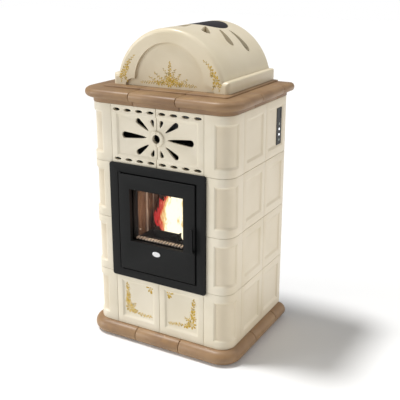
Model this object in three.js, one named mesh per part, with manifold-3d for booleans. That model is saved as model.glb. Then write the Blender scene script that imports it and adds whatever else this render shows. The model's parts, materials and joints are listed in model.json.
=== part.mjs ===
// Pellet stove clad in glazed ceramic tiles, with a vaulted top.
// Millimetres, +Z up. The front looks along -Y and the origin is on the floor under the middle of the stove.
import * as THREE from 'three';
import { mergeVertices } from 'three/addons/utils/BufferGeometryUtils.js';
import Module from 'manifold-3d';

const wasm = await Module();
wasm.setup();

// Clearances and overruns
const clearance = 0.3;        // gap between two pieces that rest against each other
const seam = 1;               // open joint between two ceramic pieces
const overrun = 6;            // how far a cutting shape runs past what it cuts
const weldOverlap = 1;        // how far two welded shapes run into each other

// Tiled body
const bodyWidth = 594;
const bodyDepth = 468;
const cornerRadius = 56;
const baseHeight = 58;
const courseHeight = 220;
const courseCount = 4;
const tileThickness = 14;
const frontTileWidth = 194;
const cornerTileLeg = 47.5;   // straight part of a corner tile on the side of the stove
const recessDepth = 4.5;
const recessBevel = 11;
const recessEndMargin = 30;
const recessSideMargin = 24;
const trimTileHalfWidth = 97; // middle piece of the base and of the cornice
const trimSideTile = 191;     // length of a base or cornice piece along the side
const grooveWidth = 1.2;
const grooveDepth = 1.5;

// Sheet steel casing
const sheet = 2.5;
const floorPlateHeight = 24;
const footRadius = 18;
const footPadHeight = 10;
const footStemRadius = 8;
const footInset = 70;

// Cornice, in overhangs from the tile face and heights above the top course
const beadOverhang = 2;
const beadHeight = 12;
const coveHeight = 19;
const noseOverhang = 32;
const noseRadius = 16.5;
const slabThickness = 14;
const plinthHeight = 5;
const plinthHalfWidth = 260;
const plinthFrontSetback = 44;
const plinthCorner = 12;
const slabInset = 12;

// Vaulted top
const vaultRadius = 228;
const vaultSpring = 14;       // vault centre line below the plinth's top
const vaultWall = 12;
const vaultFacets = 72;
const roundFacets = 32;
const vaultFrontSetback = 87;
const vaultEdgeRadius = 16;
const ledgeHalfWidth = 242;
const ledgeHeight = 42;
const ledgeRound = 10;
const ledgeBevelShare = 0.3;
const archPanelRadius = 146;
const archPanelRise = 18;
const archPanelDepth = 8;
const archEarReach = 150;
const archEarWidth = 36;
const archEarHeight = 26;
const domeBearing = 10;       // how far the cornice reaches in under the vaulted top's wall

// Filling opening and its lid
const lidRearInset = 112;      // lid centre in front of the rear face
const lidRadius = 85;
const lidGap = 3;
const neckRadius = 82;
const neckWall = 3;
const petalCutAngles = [-90, -60, -30, 0, 30, 60, 90];
const petalCutInner = 105;
const petalCutLength = 78;
const petalCutWidth = 26;

// Warm air rosette and slots in the two vent tiles
const rosetteHubRadius = 30;
const rosetteHubHole = 14;
const rosetteHubRise = 3;
const rosetteInner = 43;
const rosettePetals = [
  { angle: 0, reach: 150, halfWidth: 10.5 },
  { angle: 36, reach: 106, halfWidth: 8 },
  { angle: -36, reach: 106, halfWidth: 8 },
  { angle: 72, reach: 69, halfWidth: 6 },
  { angle: -72, reach: 69, halfWidth: 6 },
];
const ventSlotLength = 27;
const ventSlotHeight = 10;
const ventSlotsPerTile = 4;
const ventSlotEdge = 17.5;
const ventSideMargin = 23;

// Door and its surround
const surroundHalfWidth = 204.5;
const surroundOverlap = 10.5; // how far the surround covers the tiles below it
const surroundRise = 3;
const surroundCorner = 9;
const surroundThickness = 4.7;
const openingHalfWidth = 168;
const openingSill = 32;
const openingHead = 34;
const doorGap = 4.5;
const doorProud = 12;
const windowHalfWidth = 115;
const windowBottom = 423;
const windowTop = 628;
const glassThickness = 4;
const glassOverlap = 9;
const rebateDepth = 5.5;
const gasketInset = 13;
const gasketWidth = 9;
const gasketThickness = 8;
const hingeInset = 5.5;
const hingeSetback = 6;
const hingePinRadius = 3.5;
const hingePinLength = 12;
const hingeEarHalf = 5;
const badgeHeight = 391;
const badgeHalfWidth = 17;
const badgeHalfHeight = 10;
const badgeThickness = 2;

// Door handle
const handleInset = 6.5;
const handlePivotHeight = 434;
const handleLength = 87;
const handleWidth = 9;
const handleThickness = 8;
const handleFingerGap = 8;
const handleBossRadius = 9;
const spindleRadius = 4;
const camLength = 9;
const camThickness = 4;
const camWidth = 9;

// Firebox
const fireboxWall = 3;
const flangeMargin = 8;
const linerThickness = 5;
const linerRib = 3;
const linerRibPitch = 15;
const linerFrontSetback = 35;
const linerHeight = 217;
const chamberDepth = 113;
const chamberHead = 44;
const baffleThickness = 6;
const hearthThickness = 9;
const ashHeight = 81;
const ashHalfWidth = 116;
const ashWall = 1.5;
const ashDrawerHeight = 60;
const ashPullWidth = 60;
const ashPullReach = 8;
const grateSlotCount = 12;
const grateSlotWidth = 6;
const grateSlotDepth = 12;
const grateSlotSetback = 4;
const potHalfWidth = 58;
const potHalfDepth = 28;
const potTaper = 7;
const potHeight = 35;
const potWall = 4;
const potSetback = 49;        // pot centre behind the front of the liner
const potHoleRadius = 3;
const potHoleRows = 2;
const potHoleColumns = 5;
const potHolePitch = 18;
const igniterRadius = 5;
const igniterRise = 10;
const igniterTail = 20;
const airPipeX = -70;
const airPipeRadius = 25;
const airPipeWall = 3;
const airPipeDrop = 50;       // pipe centre below the hearth
const smokeOutletWidth = 60;
const smokeOutletHeight = 26;

// Pellet hopper and auger
const hopperHalfWidth = 190;
const hopperFireboxGap = 47.7;
const hopperRearGap = 19;
const hopperStraight = 133;
const hopperWall = 2.5;
const hopperThroatBottom = 490;
const hopperThroatHalf = 30;
const hopperThroatRearInset = 104;
const augerRearInset = 99;
const augerLowerZ = 455;
const augerFireboxGap = 47.7;  // upper end of the auger behind the firebox
const augerTubeRadius = 34;
const augerTubeWall = 4;
const augerFlightRadius = 28;
const augerFlightThickness = 2.5;
const augerShaftRadius = 6;
const augerPitch = 42;
const chuteRadius = 27;
const chuteWall = 3;
const gearboxHalf = 30;
const gearboxLength = 26;
const gearMotorRadius = 24;
const gearMotorLength = 34;

// Smoke fan and flue spigot
const ductWall = 2.5;
const ductDepth = 40;
const smokeFanX = 80;
const smokeFanHeight = 170;
const smokeFanRadius = 75;
const smokeFanDepth = 77;
const smokeInletRadius = 32;
const smokeMotorRadius = 28;
const smokeMotorLength = 45;
const flueOffset = 30;
const flueRadius = 40;
const flueWall = 2.5;
const fanShaftRadius = 5;
const fanBladeCount = 8;
const fanBladeThickness = 2;
const fanDiscThickness = 2;
const fanRunningGap = 12;
const smokeBladeShare = 0.5;   // inner reach of the blades as a share of the outer
const roomBladeShare = 0.6;
const bracketHalf = 20;

// Room air fan
const roomFanSideInset = 177;
const roomFanRearInset = 154;
const roomFanHeight = 150;
const roomFanRadius = 82;
const roomFanDepth = 80;
const roomFanInlet = 48;
const roomFanOutletRise = 120;
const roomMotorRadius = 30;
const roomMotorLength = 40;

// Control strip in the side tile
const panelRearInset = 54;
const panelHalfWidth = 21;
const panelBottom = 755;
const panelTop = 898;
const panelDepth = 22;
const panelProud = 1.5;
const displayBottom = 855;
const displayTop = 890;
const displayHalfWidth = 13;
const displayDepth = 1;
const buttonHeights = [836, 815.5, 794, 773.5];
const buttonRadius = 4.6;
const buttonBore = 5;
const buttonBoreDepth = 8;
const buttonLength = 7.4;
const buttonProud = 1.2;

// Mains inlet with its rocker switch, in the rear panel
const inletSideInset = 82;
const inletHeight = 130;
const inletHalfWidth = 29;
const inletHalfHeight = 14;
const inletFlangeRim = 3;
const inletFlangeThickness = 2;
const inletDepth = 24;
const socketOffset = -12;
const socketHalfWidth = 12;
const socketHalfHeight = 8;
const socketDepth = 16;
const contactHalfWidth = 2;
const contactHalfHeight = 1;
const contactLength = 13;
const contactPitch = 7;
const rockerOffset = 17;
const rockerHalfWidth = 5.5;
const rockerHalfHeight = 8.5;
const rockerPocketMargin = 1.2;
const rockerPocketDepth = 12;
const rockerBack = 6;
const rockerRise = 4;
const rockerDip = 2;
const rockerTilt = 0.15;

// Rear panel
const rearSlotCount = 9;
const rearSlotLength = 150;
const rearSlotHeight = 5;
const rearSlotPitch = 16;
const rearSlotBottom = 620;

// Places that follow from the sizes above
const halfWidth = bodyWidth / 2;
const front = -bodyDepth / 2;
const rear = bodyDepth / 2;
const arcStart = halfWidth - cornerRadius;
const arcLength = cornerRadius * Math.PI / 2;
const arcEnd = arcStart + arcLength;
const courseTop = baseHeight + courseCount * courseHeight;
const doorCourseTop = courseTop - courseHeight;
const doorCourseBottom = baseHeight + courseHeight;
const casingOffset = -(tileThickness + clearance);
const casingInner = casingOffset - sheet;
const casingFrontInner = front - casingInner;
const casingTop = courseTop - seam / 2 - 2 * clearance;
const casingRear = rear - sheet - 2 * clearance;
const corniceBottom = courseTop + clearance;
const corniceNose = courseTop + coveHeight + noseRadius;
const corniceTop = corniceNose + noseRadius;
const plinthTop = corniceTop + plinthHeight;
const domeBottom = plinthTop + clearance;
const vaultCentre = plinthTop - vaultSpring;
const domeFront = front + vaultFrontSetback;
const corniceWellHalf = ledgeHalfWidth - vaultWall - ledgeRound - domeBearing;
const surroundBottom = doorCourseBottom - surroundOverlap;
const surroundTop = doorCourseTop + surroundRise;
const openingBottom = surroundBottom + openingSill;
const openingTop = surroundTop - openingHead;
const doorHalfWidth = openingHalfWidth - doorGap;
const doorBottom = openingBottom + doorGap;
const doorTop = openingTop - doorGap;
const doorFront = front - doorProud;
const flangeFront = casingFrontInner + clearance;
const gasketBack = flangeFront - clearance;
const doorBack = gasketBack - gasketThickness - clearance;
const hingeX = -(doorHalfWidth - hingeInset);
const hingeY = doorFront + hingeSetback;
const handleX = doorHalfWidth - handleInset;
const linerFront = front + linerFrontSetback;
const linerBack = linerFront + chamberDepth;
const fireboxInnerHalf = windowHalfWidth + linerThickness + clearance;
const fireboxInnerBack = linerBack + linerThickness + clearance;
const fireboxBack = fireboxInnerBack + fireboxWall;
const hearth = windowBottom;
const linerBottom = hearth + clearance;
const linerTop = linerBottom + linerHeight;
const chamberTop = linerTop + chamberHead;
const ashFloor = hearth - hearthThickness - ashHeight;
const lidCentreY = rear - lidRearInset;
const hopperFront = fireboxBack + hopperFireboxGap;
const hopperRear = rear - hopperRearGap;
const hopperThroatRear = rear - hopperThroatRearInset;
const augerLowerY = rear - augerRearInset;
const augerRun = augerLowerY - fireboxBack - augerFireboxGap;
const roomFanX = -(halfWidth - roomFanSideInset);
const roomFanY = rear - roomFanRearInset;
const panelCentreY = rear - panelRearInset;
const inletX = -(halfWidth - inletSideInset);
const potY = linerFront + potSetback;
const sideRecessDepthX = halfWidth - recessDepth;

// Materials, with the colours of the photographed stove
function finish(color, roughness, metalness) {
  return new THREE.MeshStandardMaterial({ color, roughness, metalness });
}
const cream = finish(0xe5ddca, 0.25, 0);
const brown = finish(0xb49678, 0.35, 0);
const blackSteel = finish(0x29292a, 0.55, 0.6);
const greySteel = finish(0x8a8d90, 0.5, 0.8);
const castIron = finish(0x3a3633, 0.8, 0.6);
const clearGlass = finish(0xdfe8ea, 0.05, 0);
const ropeGrey = finish(0x6f6c66, 0.95, 0);
const brightMetal = finish(0xe1e1e1, 0.25, 1);
const blackPlastic = finish(0x1c1c1e, 0.5, 0);
const whitePlastic = finish(0xf4f6fa, 0.4, 0);
const refractory = finish(0x7a5a3e, 0.9, 0);

// Closed solids from point lists and three.js geometries
function signedVolume(points, triangles) {
  let sum = 0;
  const a = new THREE.Vector3();
  const b = new THREE.Vector3();
  const c = new THREE.Vector3();
  for (let i = 0; i < triangles.length; i += 3) {
    a.fromArray(points, triangles[i] * 3);
    b.fromArray(points, triangles[i + 1] * 3);
    c.fromArray(points, triangles[i + 2] * 3);
    sum += a.dot(b.cross(c));
  }
  return sum;
}

function solid(geometry) {
  geometry.deleteAttribute('normal');
  geometry.deleteAttribute('uv');
  const merged = mergeVertices(geometry);
  const points = Float32Array.from(merged.attributes.position.array);
  const triangles = Uint32Array.from(merged.index.array);
  if (signedVolume(points, triangles) < 0) triangles.reverse();
  return new wasm.Manifold(new wasm.Mesh({ numProp: 3, vertProperties: points, triVerts: triangles }));
}

function geometryOf(body) {
  const mesh = body.getMesh();
  const geometry = new THREE.BufferGeometry();
  geometry.setAttribute('position', new THREE.BufferAttribute(Float32Array.from(mesh.vertProperties), 3));
  geometry.setIndex(new THREE.BufferAttribute(Uint32Array.from(mesh.triVerts), 1));
  geometry.computeVertexNormals();
  return geometry;
}

function join(...bodies) {
  return bodies.reduce((sum, body) => sum.add(body));
}

function cut(body, ...tools) {
  return tools.reduce((rest, tool) => rest.subtract(tool), body);
}

function mirrorX(body) {
  return solid(geometryOf(body).scale(-1, 1, 1));
}

function block(x0, x1, y0, y1, z0, z1) {
  const geometry = new THREE.BoxGeometry(x1 - x0, y1 - y0, z1 - z0);
  return solid(geometry.translate((x0 + x1) / 2, (y0 + y1) / 2, (z0 + z1) / 2));
}

function rodZ(x, y, z0, z1, radius, sides = 24) {
  const geometry = new THREE.CylinderGeometry(radius, radius, z1 - z0, sides);
  return solid(geometry.rotateX(Math.PI / 2).translate(x, y, (z0 + z1) / 2));
}

function rodY(x, z, y0, y1, radius, sides = 24) {
  const geometry = new THREE.CylinderGeometry(radius, radius, y1 - y0, sides);
  return solid(geometry.translate(x, (y0 + y1) / 2, z));
}

function rodX(y, z, x0, x1, radius, sides = 16) {
  const geometry = new THREE.CylinderGeometry(radius, radius, x1 - x0, sides);
  return solid(geometry.rotateZ(Math.PI / 2).translate((x0 + x1) / 2, y, z));
}

// A rod between two points of the stove's middle plane, given as [y, z]
function rodBetween(from, to, radius, sides = 20) {
  const start = new THREE.Vector3(0, from[0], from[1]);
  const end = new THREE.Vector3(0, to[0], to[1]);
  const middle = start.clone().add(end).divideScalar(2);
  const direction = end.clone().sub(start).normalize();
  const turn = new THREE.Quaternion().setFromUnitVectors(new THREE.Vector3(0, 1, 0), direction);
  const geometry = new THREE.CylinderGeometry(radius, radius, start.distanceTo(end), sides);
  return solid(geometry.applyQuaternion(turn).translate(middle.x, middle.y, middle.z));
}

function plateZ(shape, z0, z1, curveSegments = 8) {
  const geometry = new THREE.ExtrudeGeometry(shape, { depth: z1 - z0, bevelEnabled: false, curveSegments });
  return solid(geometry.translate(0, 0, z0));
}

// A shape drawn in X and Z, extruded from y0 to y1
function plateY(shape, y0, y1, curveSegments = 8) {
  const geometry = new THREE.ExtrudeGeometry(shape, { depth: y1 - y0, bevelEnabled: false, curveSegments });
  return solid(geometry.rotateX(Math.PI / 2).translate(0, y1, 0));
}

function roundedRectangle(x0, x1, y0, y1, radius) {
  const shape = new THREE.Shape();
  shape.moveTo(x0 + radius, y0);
  shape.absarc(x1 - radius, y0 + radius, radius, -Math.PI / 2, 0);
  shape.absarc(x1 - radius, y1 - radius, radius, 0, Math.PI / 2);
  shape.absarc(x0 + radius, y1 - radius, radius, Math.PI / 2, Math.PI);
  shape.absarc(x0 + radius, y0 + radius, radius, Math.PI, Math.PI * 1.5);
  return shape;
}

// A pointed drop along direction angle, from the inner tip to a round outer end
function dropShape(centreX, centreY, angle, inner, outer, halfEnd) {
  const middle = outer - halfEnd;
  const lean = Math.asin(halfEnd / (middle - inner));
  const along = (reach, side) => [
    centreX + reach * Math.cos(angle) - side * Math.sin(angle),
    centreY + reach * Math.sin(angle) + side * Math.cos(angle),
  ];
  const shape = new THREE.Shape();
  const [endX, endY] = along(middle, 0);
  const spread = Math.PI / 2 + lean;
  const startAngle = angle - spread;
  shape.moveTo(...along(inner, 0));
  shape.lineTo(endX + halfEnd * Math.cos(startAngle), endY + halfEnd * Math.sin(startAngle));
  shape.absarc(endX, endY, halfEnd, startAngle, angle + spread);
  shape.closePath();
  return shape;
}

// The tile face seen from above: along the front, round the corner and back along the side
function outlinePoint(along, offset) {
  if (along <= arcStart) return [along, front - offset];
  if (along <= arcEnd) {
    const angle = (along - arcStart) / cornerRadius;
    const reach = cornerRadius + offset;
    return [arcStart + reach * Math.sin(angle), front + cornerRadius - reach * Math.cos(angle)];
  }
  return [halfWidth + offset, front + cornerRadius + along - arcEnd];
}

function alongSide(y) {
  return arcEnd + y - front - cornerRadius;
}

// Every piece that follows the corner has its facets at the same angles
const arcSteps = 6;
function arcStations() {
  return Array.from({ length: arcSteps + 1 }, (_, i) => arcStart + arcLength * i / arcSteps);
}

// A closed profile of [offset, z] points swept along the outline; a groove station pulls its face in
function sweepOutline(profile, stations, innerOffset) {
  const rings = stations.map((station) => {
    const { at, pull } = typeof station === 'number' ? { at: station, pull: 0 } : station;
    return profile.map(([offset, z]) => {
      const [x, y] = outlinePoint(at, offset > innerOffset ? offset - pull : offset);
      return [x, y, z];
    });
  });
  return loft(rings, profile);
}

function loft(rings, profile) {
  const count = profile.length;
  const triangles = [];
  for (let i = 0; i + 1 < rings.length; i += 1) {
    for (let j = 0; j < count; j += 1) {
      const a = i * count + j;
      const b = i * count + (j + 1) % count;
      triangles.push(a, b, b + count, a, b + count, a + count);
    }
  }
  const flat = profile.map(([x, y]) => new THREE.Vector2(x, y));
  const last = (rings.length - 1) * count;
  const clockwise = THREE.ShapeUtils.isClockWise(flat);
  for (const face of THREE.ShapeUtils.triangulateShape(flat, [])) {
    const [a, b, c] = clockwise ? [...face].reverse() : face;
    triangles.push(c, b, a, last + a, last + b, last + c);
  }
  if (clockwise) {
    for (let i = 0; i < (rings.length - 1) * count * 6; i += 3) {
      [triangles[i], triangles[i + 2]] = [triangles[i + 2], triangles[i]];
    }
  }
  const geometry = new THREE.BufferGeometry();
  geometry.setAttribute('position', new THREE.Float32BufferAttribute(rings.flat(2), 3));
  geometry.setIndex(triangles);
  return solid(geometry);
}

// A plate with a grid of points for its front and a strip of two rows for its back
function gridSolid(columns, rows, frontPoint, backPoint, depthAt) {
  const points = [];
  for (let i = 0; i < columns; i += 1) {
    for (let j = 0; j < rows; j += 1) points.push(frontPoint(i, j));
  }
  for (let i = 0; i < columns; i += 1) points.push(backPoint(i, 0), backPoint(i, rows - 1));
  const face = (i, j) => i * rows + j;
  const back = (i, end) => columns * rows + 2 * i + end;
  const triangles = [];
  for (let i = 0; i + 1 < columns; i += 1) {
    for (let j = 0; j + 1 < rows; j += 1) {
      const rising = Math.abs(depthAt(i, j) - depthAt(i + 1, j + 1));
      const falling = Math.abs(depthAt(i + 1, j) - depthAt(i, j + 1));
      const [a, b, c, d] = [face(i, j), face(i + 1, j), face(i + 1, j + 1), face(i, j + 1)];
      if (falling > rising) triangles.push(a, b, d, b, c, d);
      else triangles.push(a, b, c, a, c, d);
    }
    const edges = [
      [back(i, 0), back(i, 1), back(i + 1, 1), back(i + 1, 0)],
      [face(i + 1, 0), face(i, 0), back(i, 0), back(i + 1, 0)],
      [face(i, rows - 1), face(i + 1, rows - 1), back(i + 1, 1), back(i, 1)],
    ];
    for (const [a, b, c, d] of edges) triangles.push(a, b, c, a, c, d);
  }
  const last = columns - 1;
  for (let j = 0; j + 1 < rows; j += 1) {
    triangles.push(back(0, 0), face(0, j), face(0, j + 1));
    triangles.push(back(last, 0), face(last, j + 1), face(last, j));
  }
  triangles.push(back(0, 0), face(0, rows - 1), back(0, 1));
  triangles.push(back(last, 0), back(last, 1), face(last, rows - 1));
  const geometry = new THREE.BufferGeometry();
  geometry.setAttribute('position', new THREE.Float32BufferAttribute(points.flat(), 3));
  geometry.setIndex(triangles);
  return solid(geometry);
}

// The sunk field of a tile between its end margins, as shares of its depth at each height
const fieldLevels = [
  { z: seam / 2, share: 0 },
  { z: recessEndMargin, share: 0 },
  { z: recessEndMargin + recessBevel, share: 1 },
  { z: courseHeight - recessEndMargin - recessBevel, share: 1 },
  { z: courseHeight - recessEndMargin, share: 0 },
  { z: courseHeight - seam / 2, share: 0 },
];

// A tile that goes round the corner, from stations of { at, depth }
function curvedTile(stations) {
  const depthAt = (i, j) => stations[i].depth * fieldLevels[j].share;
  const facePoint = (i, j) => [...outlinePoint(stations[i].at, -depthAt(i, j)), fieldLevels[j].z];
  const backPoint = (i, j) => [...outlinePoint(stations[i].at, -tileThickness), fieldLevels[j].z];
  return gridSolid(stations.length, fieldLevels.length, facePoint, backPoint, depthAt);
}

// The cutter for one sunk field of a flat front tile, bevelled all round
function sunkField(x0, x1) {
  const z0 = recessEndMargin;
  const z1 = courseHeight - recessEndMargin;
  const ring = (inset, y) => [
    [x0 + inset, y, z0 + inset],
    [x1 - inset, y, z0 + inset],
    [x1 - inset, y, z1 - inset],
    [x0 + inset, y, z1 - inset],
  ];
  const flare = recessBevel * overrun / recessDepth;
  const profile = [[x0, z0], [x1, z0], [x1, z1], [x0, z1]];
  return loft([ring(recessBevel, front + recessDepth), ring(-flare, front - overrun)], profile);
}

function flatTile(x0, x1, fields) {
  const plate = block(x0, x1, front, front + tileThickness, seam / 2, courseHeight - seam / 2);
  return cut(plate, ...fields);
}

const stove = new THREE.Group();

function place(name, body, material, z = 0) {
  const mesh = new THREE.Mesh(geometryOf(body), material);
  mesh.name = name;
  mesh.position.z = z;
  stove.add(mesh);
  return mesh;
}

// Base: a half-round course of glazed ceramic round the front and the sides
function halfRoundProfile() {
  const radius = baseHeight / 2;
  const steps = 8;
  const nose = Array.from({ length: steps + 1 }, (_, i) => {
    const angle = -Math.PI / 2 + Math.PI * i / steps;
    return [radius * Math.cos(angle), radius + radius * Math.sin(angle)];
  });
  return [[-tileThickness, 0], ...nose, [-tileThickness, baseHeight]];
}

// Grooves where a long base or cornice piece is jointed again along the side
const sideJointYs = [rear - trimSideTile / 2 - trimSideTile, rear - trimSideTile / 2];

function trimStations() {
  const grooves = sideJointYs.map(alongSide).flatMap((at) => [
    at - grooveWidth,
    { at, pull: grooveDepth },
    at + grooveWidth,
  ]);
  return [trimTileHalfWidth + seam / 2, ...arcStations(), ...grooves, alongSide(rear)];
}

function buildBase() {
  const profile = halfRoundProfile();
  const middleHalf = trimTileHalfWidth - seam / 2;
  place('base_front', sweepOutline(profile, [-middleHalf, middleHalf], -tileThickness), brown);
  const side = sweepOutline(profile, trimStations(), -tileThickness);
  place('base_right', side, brown);
  place('base_left', mirrorX(side), brown);
}

// Feet that carry the steel casing
function buildFeet() {
  const profile = [
    new THREE.Vector2(0, 0),
    new THREE.Vector2(footRadius, 0),
    new THREE.Vector2(footRadius, footPadHeight),
    new THREE.Vector2(footStemRadius, footPadHeight),
    new THREE.Vector2(footStemRadius, floorPlateHeight - clearance),
    new THREE.Vector2(0, floorPlateHeight - clearance),
  ];
  const geometry = new THREE.LatheGeometry(profile, 12).rotateX(Math.PI / 2);
  const foot = solid(geometry);
  const spots = [
    ['foot_front_left', -1, front + footInset],
    ['foot_front_right', 1, front + footInset],
    ['foot_rear_left', -1, rear - footInset],
    ['foot_rear_right', 1, rear - footInset],
  ];
  for (const [name, side, y] of spots) {
    const mesh = place(name, foot, blackSteel);
    mesh.position.x = side * (halfWidth - footInset);
    mesh.position.y = y;
  }
}

// Corner, side and lower front tiles with their sunk fields
function buildTiles() {
  const corner = curvedTile([
    { at: frontTileWidth + seam / 2, depth: 0 },
    { at: arcStart - recessBevel, depth: 0 },
    ...arcStations().map((at) => ({ at, depth: recessDepth })),
    { at: arcEnd + recessBevel, depth: 0 },
    { at: arcEnd + cornerTileLeg - seam / 2, depth: 0 },
  ]);
  const sideFront = front + cornerRadius + cornerTileLeg + seam / 2;
  const sideMiddle = (sideFront + rear) / 2;
  const groove = block(
    sideMiddle - grooveWidth / 2,
    sideMiddle + grooveWidth / 2,
    front - overrun,
    front + grooveDepth,
    0,
    courseHeight,
  );
  const upright = flatTile(sideFront, rear, [
    sunkField(sideFront + recessSideMargin, sideMiddle - recessSideMargin),
    sunkField(sideMiddle + recessSideMargin, rear - recessSideMargin),
    groove,
  ]);
  const sides = solid(geometryOf(upright).rotateZ(Math.PI / 2).translate(halfWidth + front, 0, 0));
  const controlCut = block(
    halfWidth - tileThickness - overrun,
    halfWidth + overrun,
    panelCentreY - panelHalfWidth - clearance,
    panelCentreY + panelHalfWidth + clearance,
    panelBottom - clearance - (courseTop - courseHeight),
    panelTop + clearance - (courseTop - courseHeight),
  );
  for (let course = 0; course < courseCount; course += 1) {
    const z = baseHeight + course * courseHeight;
    const label = course + 1;
    const isTop = course === courseCount - 1;
    place(`corner_tile_right_${label}`, corner, cream, z);
    place(`corner_tile_left_${label}`, mirrorX(corner), cream, z);
    place(`side_tiles_right_${label}`, isTop ? cut(sides, controlCut) : sides, cream, z);
    place(`side_tiles_left_${label}`, mirrorX(sides), cream, z);
  }
  const lower = flatTile(seam / 2, frontTileWidth - seam / 2, [
    sunkField(recessSideMargin, frontTileWidth - recessSideMargin),
  ]);
  place('lower_tile_right', lower, cream, baseHeight);
  place('lower_tile_left', mirrorX(lower), cream, baseHeight);
}

// The two vent tiles over the door, with half of the rosette each
function buildVentTiles() {
  const fieldEdge = frontTileWidth - ventSideMargin;
  const field = flatTile(seam / 2, frontTileWidth - seam / 2, [sunkField(-fieldEdge, fieldEdge)]);
  const centreZ = courseHeight / 2;
  const fieldY = front + recessDepth;
  const backY = front + tileThickness + overrun;
  const openY = front - overrun;
  const hub = rodY(0, centreZ, fieldY - rosetteHubRise, fieldY + weldOverlap, rosetteHubRadius, 28)
    .intersect(block(seam / 2, rosetteHubRadius + overrun, openY, backY, 0, courseHeight));
  const petals = rosettePetals.map(({ angle, reach, halfWidth: half }) => plateY(
    dropShape(0, centreZ, THREE.MathUtils.degToRad(angle), rosetteInner, reach, half),
    openY,
    backY,
    5,
  ));
  const slots = [];
  const pitch = frontTileWidth / ventSlotsPerTile;
  for (let i = 0; i < ventSlotsPerTile; i += 1) {
    const x = pitch * (i + 0.5);
    for (const z of [ventSlotEdge, courseHeight - ventSlotEdge]) {
      const half = ventSlotHeight / 2;
      const x0 = x - ventSlotLength / 2;
      const shape = roundedRectangle(x0, x0 + ventSlotLength, z - half, z + half, half);
      slots.push(plateY(shape, openY, backY, 2));
    }
  }
  const hubHole = rodY(0, centreZ, openY, backY, rosetteHubHole, 16);
  const tile = cut(join(field, hub), hubHole, ...petals, ...slots);
  const z = courseTop - courseHeight;
  place('vent_tile_right', tile, cream, z);
  place('vent_tile_left', mirrorX(tile), cream, z);
}

// Cornice: bead, cove and bullnose, with a slab on top that carries the vault
function corniceProfile() {
  const noseCentre = noseOverhang - noseRadius;
  const steps = 8;
  const nose = Array.from({ length: steps + 1 }, (_, i) => {
    const angle = -Math.PI / 2 + Math.PI * i / steps;
    return [noseCentre + noseRadius * Math.cos(angle), corniceNose + noseRadius * Math.sin(angle)];
  });
  const coveTop = corniceNose - noseRadius;
  const coveStart = corniceBottom + beadHeight;
  const coveSteps = 3;
  const coveAt = (i) => {
    const angle = Math.PI / 2 * i / coveSteps;
    const across = noseCentre - beadOverhang;
    const height = (coveTop - coveStart) * Math.sin(angle);
    return [beadOverhang + across * (1 - Math.cos(angle)), coveStart + height];
  };
  const cove = Array.from({ length: coveSteps }, (_, i) => coveAt(i));
  return [
    [-tileThickness, corniceBottom],
    [beadOverhang, corniceBottom],
    ...cove,
    ...nose,
    [-tileThickness, corniceTop],
  ];
}

function slabShape(offset) {
  const radius = cornerRadius + offset;
  const shape = new THREE.Shape();
  const half = halfWidth + offset;
  shape.moveTo(-half, rear);
  shape.lineTo(-half, front - offset + radius);
  shape.absarc(-half + radius, front - offset + radius, radius, Math.PI, Math.PI * 1.5);
  shape.absarc(half - radius, front - offset + radius, radius, Math.PI * 1.5, Math.PI * 2);
  shape.lineTo(half, rear);
  shape.closePath();
  return shape;
}

function buildCornice() {
  const profile = corniceProfile();
  const slab = plateZ(slabShape(-slabInset), corniceTop - slabThickness, corniceTop, arcSteps);
  const plinthFront = front + plinthFrontSetback;
  const plinthRear = rear + plinthCorner;
  const plinth = plateZ(
    roundedRectangle(-plinthHalfWidth, plinthHalfWidth, plinthFront, plinthRear, plinthCorner),
    corniceTop - weldOverlap,
    plinthTop,
    4,
  ).intersect(block(-plinthHalfWidth, plinthHalfWidth, plinthFront, rear, corniceBottom, plinthTop));
  const wellFront = domeFront + archPanelDepth + vaultWall + domeBearing;
  const well = block(
    -corniceWellHalf,
    corniceWellHalf,
    wellFront,
    rear + overrun,
    corniceBottom,
    plinthTop + overrun,
  );
  const bounds = halfWidth + noseOverhang + overrun;
  const top = cut(join(slab, plinth), well);
  const middleHalf = trimTileHalfWidth - seam / 2;
  const middleSpace = block(-middleHalf, middleHalf, -bounds, bounds, 0, plinthTop + overrun);
  const middle = sweepOutline(profile, [-middleHalf, middleHalf], -tileThickness);
  place('cornice_front', join(middle, top.intersect(middleSpace)), brown);
  const sideSpace = block(trimTileHalfWidth + seam / 2, bounds, -bounds, bounds, 0, plinthTop + overrun);
  const joints = sideJointYs.map((y) => block(
    corniceWellHalf - overrun,
    bounds,
    y - grooveWidth / 2,
    y + grooveWidth / 2,
    plinthTop - grooveDepth,
    plinthTop + overrun,
  ));
  const swept = sweepOutline(profile, trimStations(), -tileThickness);
  const side = cut(join(swept, top.intersect(sideSpace)), ...joints);
  place('cornice_right', side, brown);
  place('cornice_left', mirrorX(side), brown);
}

// Vaulted top: section of the barrel vault with its side ledges, drawn in X and Z
function vaultSection(inset, bottom) {
  const steps = 26;
  const ledgeTop = plinthTop + ledgeHeight - inset;
  const half = ledgeHalfWidth - inset;
  const radius = vaultRadius - inset;
  const rise = ledgeTop - vaultCentre;
  const startAngle = Math.asin(rise / radius);
  const arch = Array.from({ length: steps + 1 }, (_, i) => {
    const angle = startAngle + (Math.PI - 2 * startAngle) * i / steps;
    return [radius * Math.cos(angle), vaultCentre + radius * Math.sin(angle)];
  });
  return [
    [half, bottom],
    [half, ledgeTop - ledgeRound],
    [half - ledgeRound * ledgeBevelShare, ledgeTop - ledgeRound * ledgeBevelShare],
    ...arch,
    [-half + ledgeRound * ledgeBevelShare, ledgeTop - ledgeRound * ledgeBevelShare],
    [-half, ledgeTop - ledgeRound],
    [-half, bottom],
  ];
}

function vaultLoft(levels, bottom) {
  const rings = levels.map(({ y, inset }) => vaultSection(inset, bottom).map(([x, z]) => [x, y, z]));
  return loft(rings, vaultSection(levels[0].inset, bottom));
}

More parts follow.
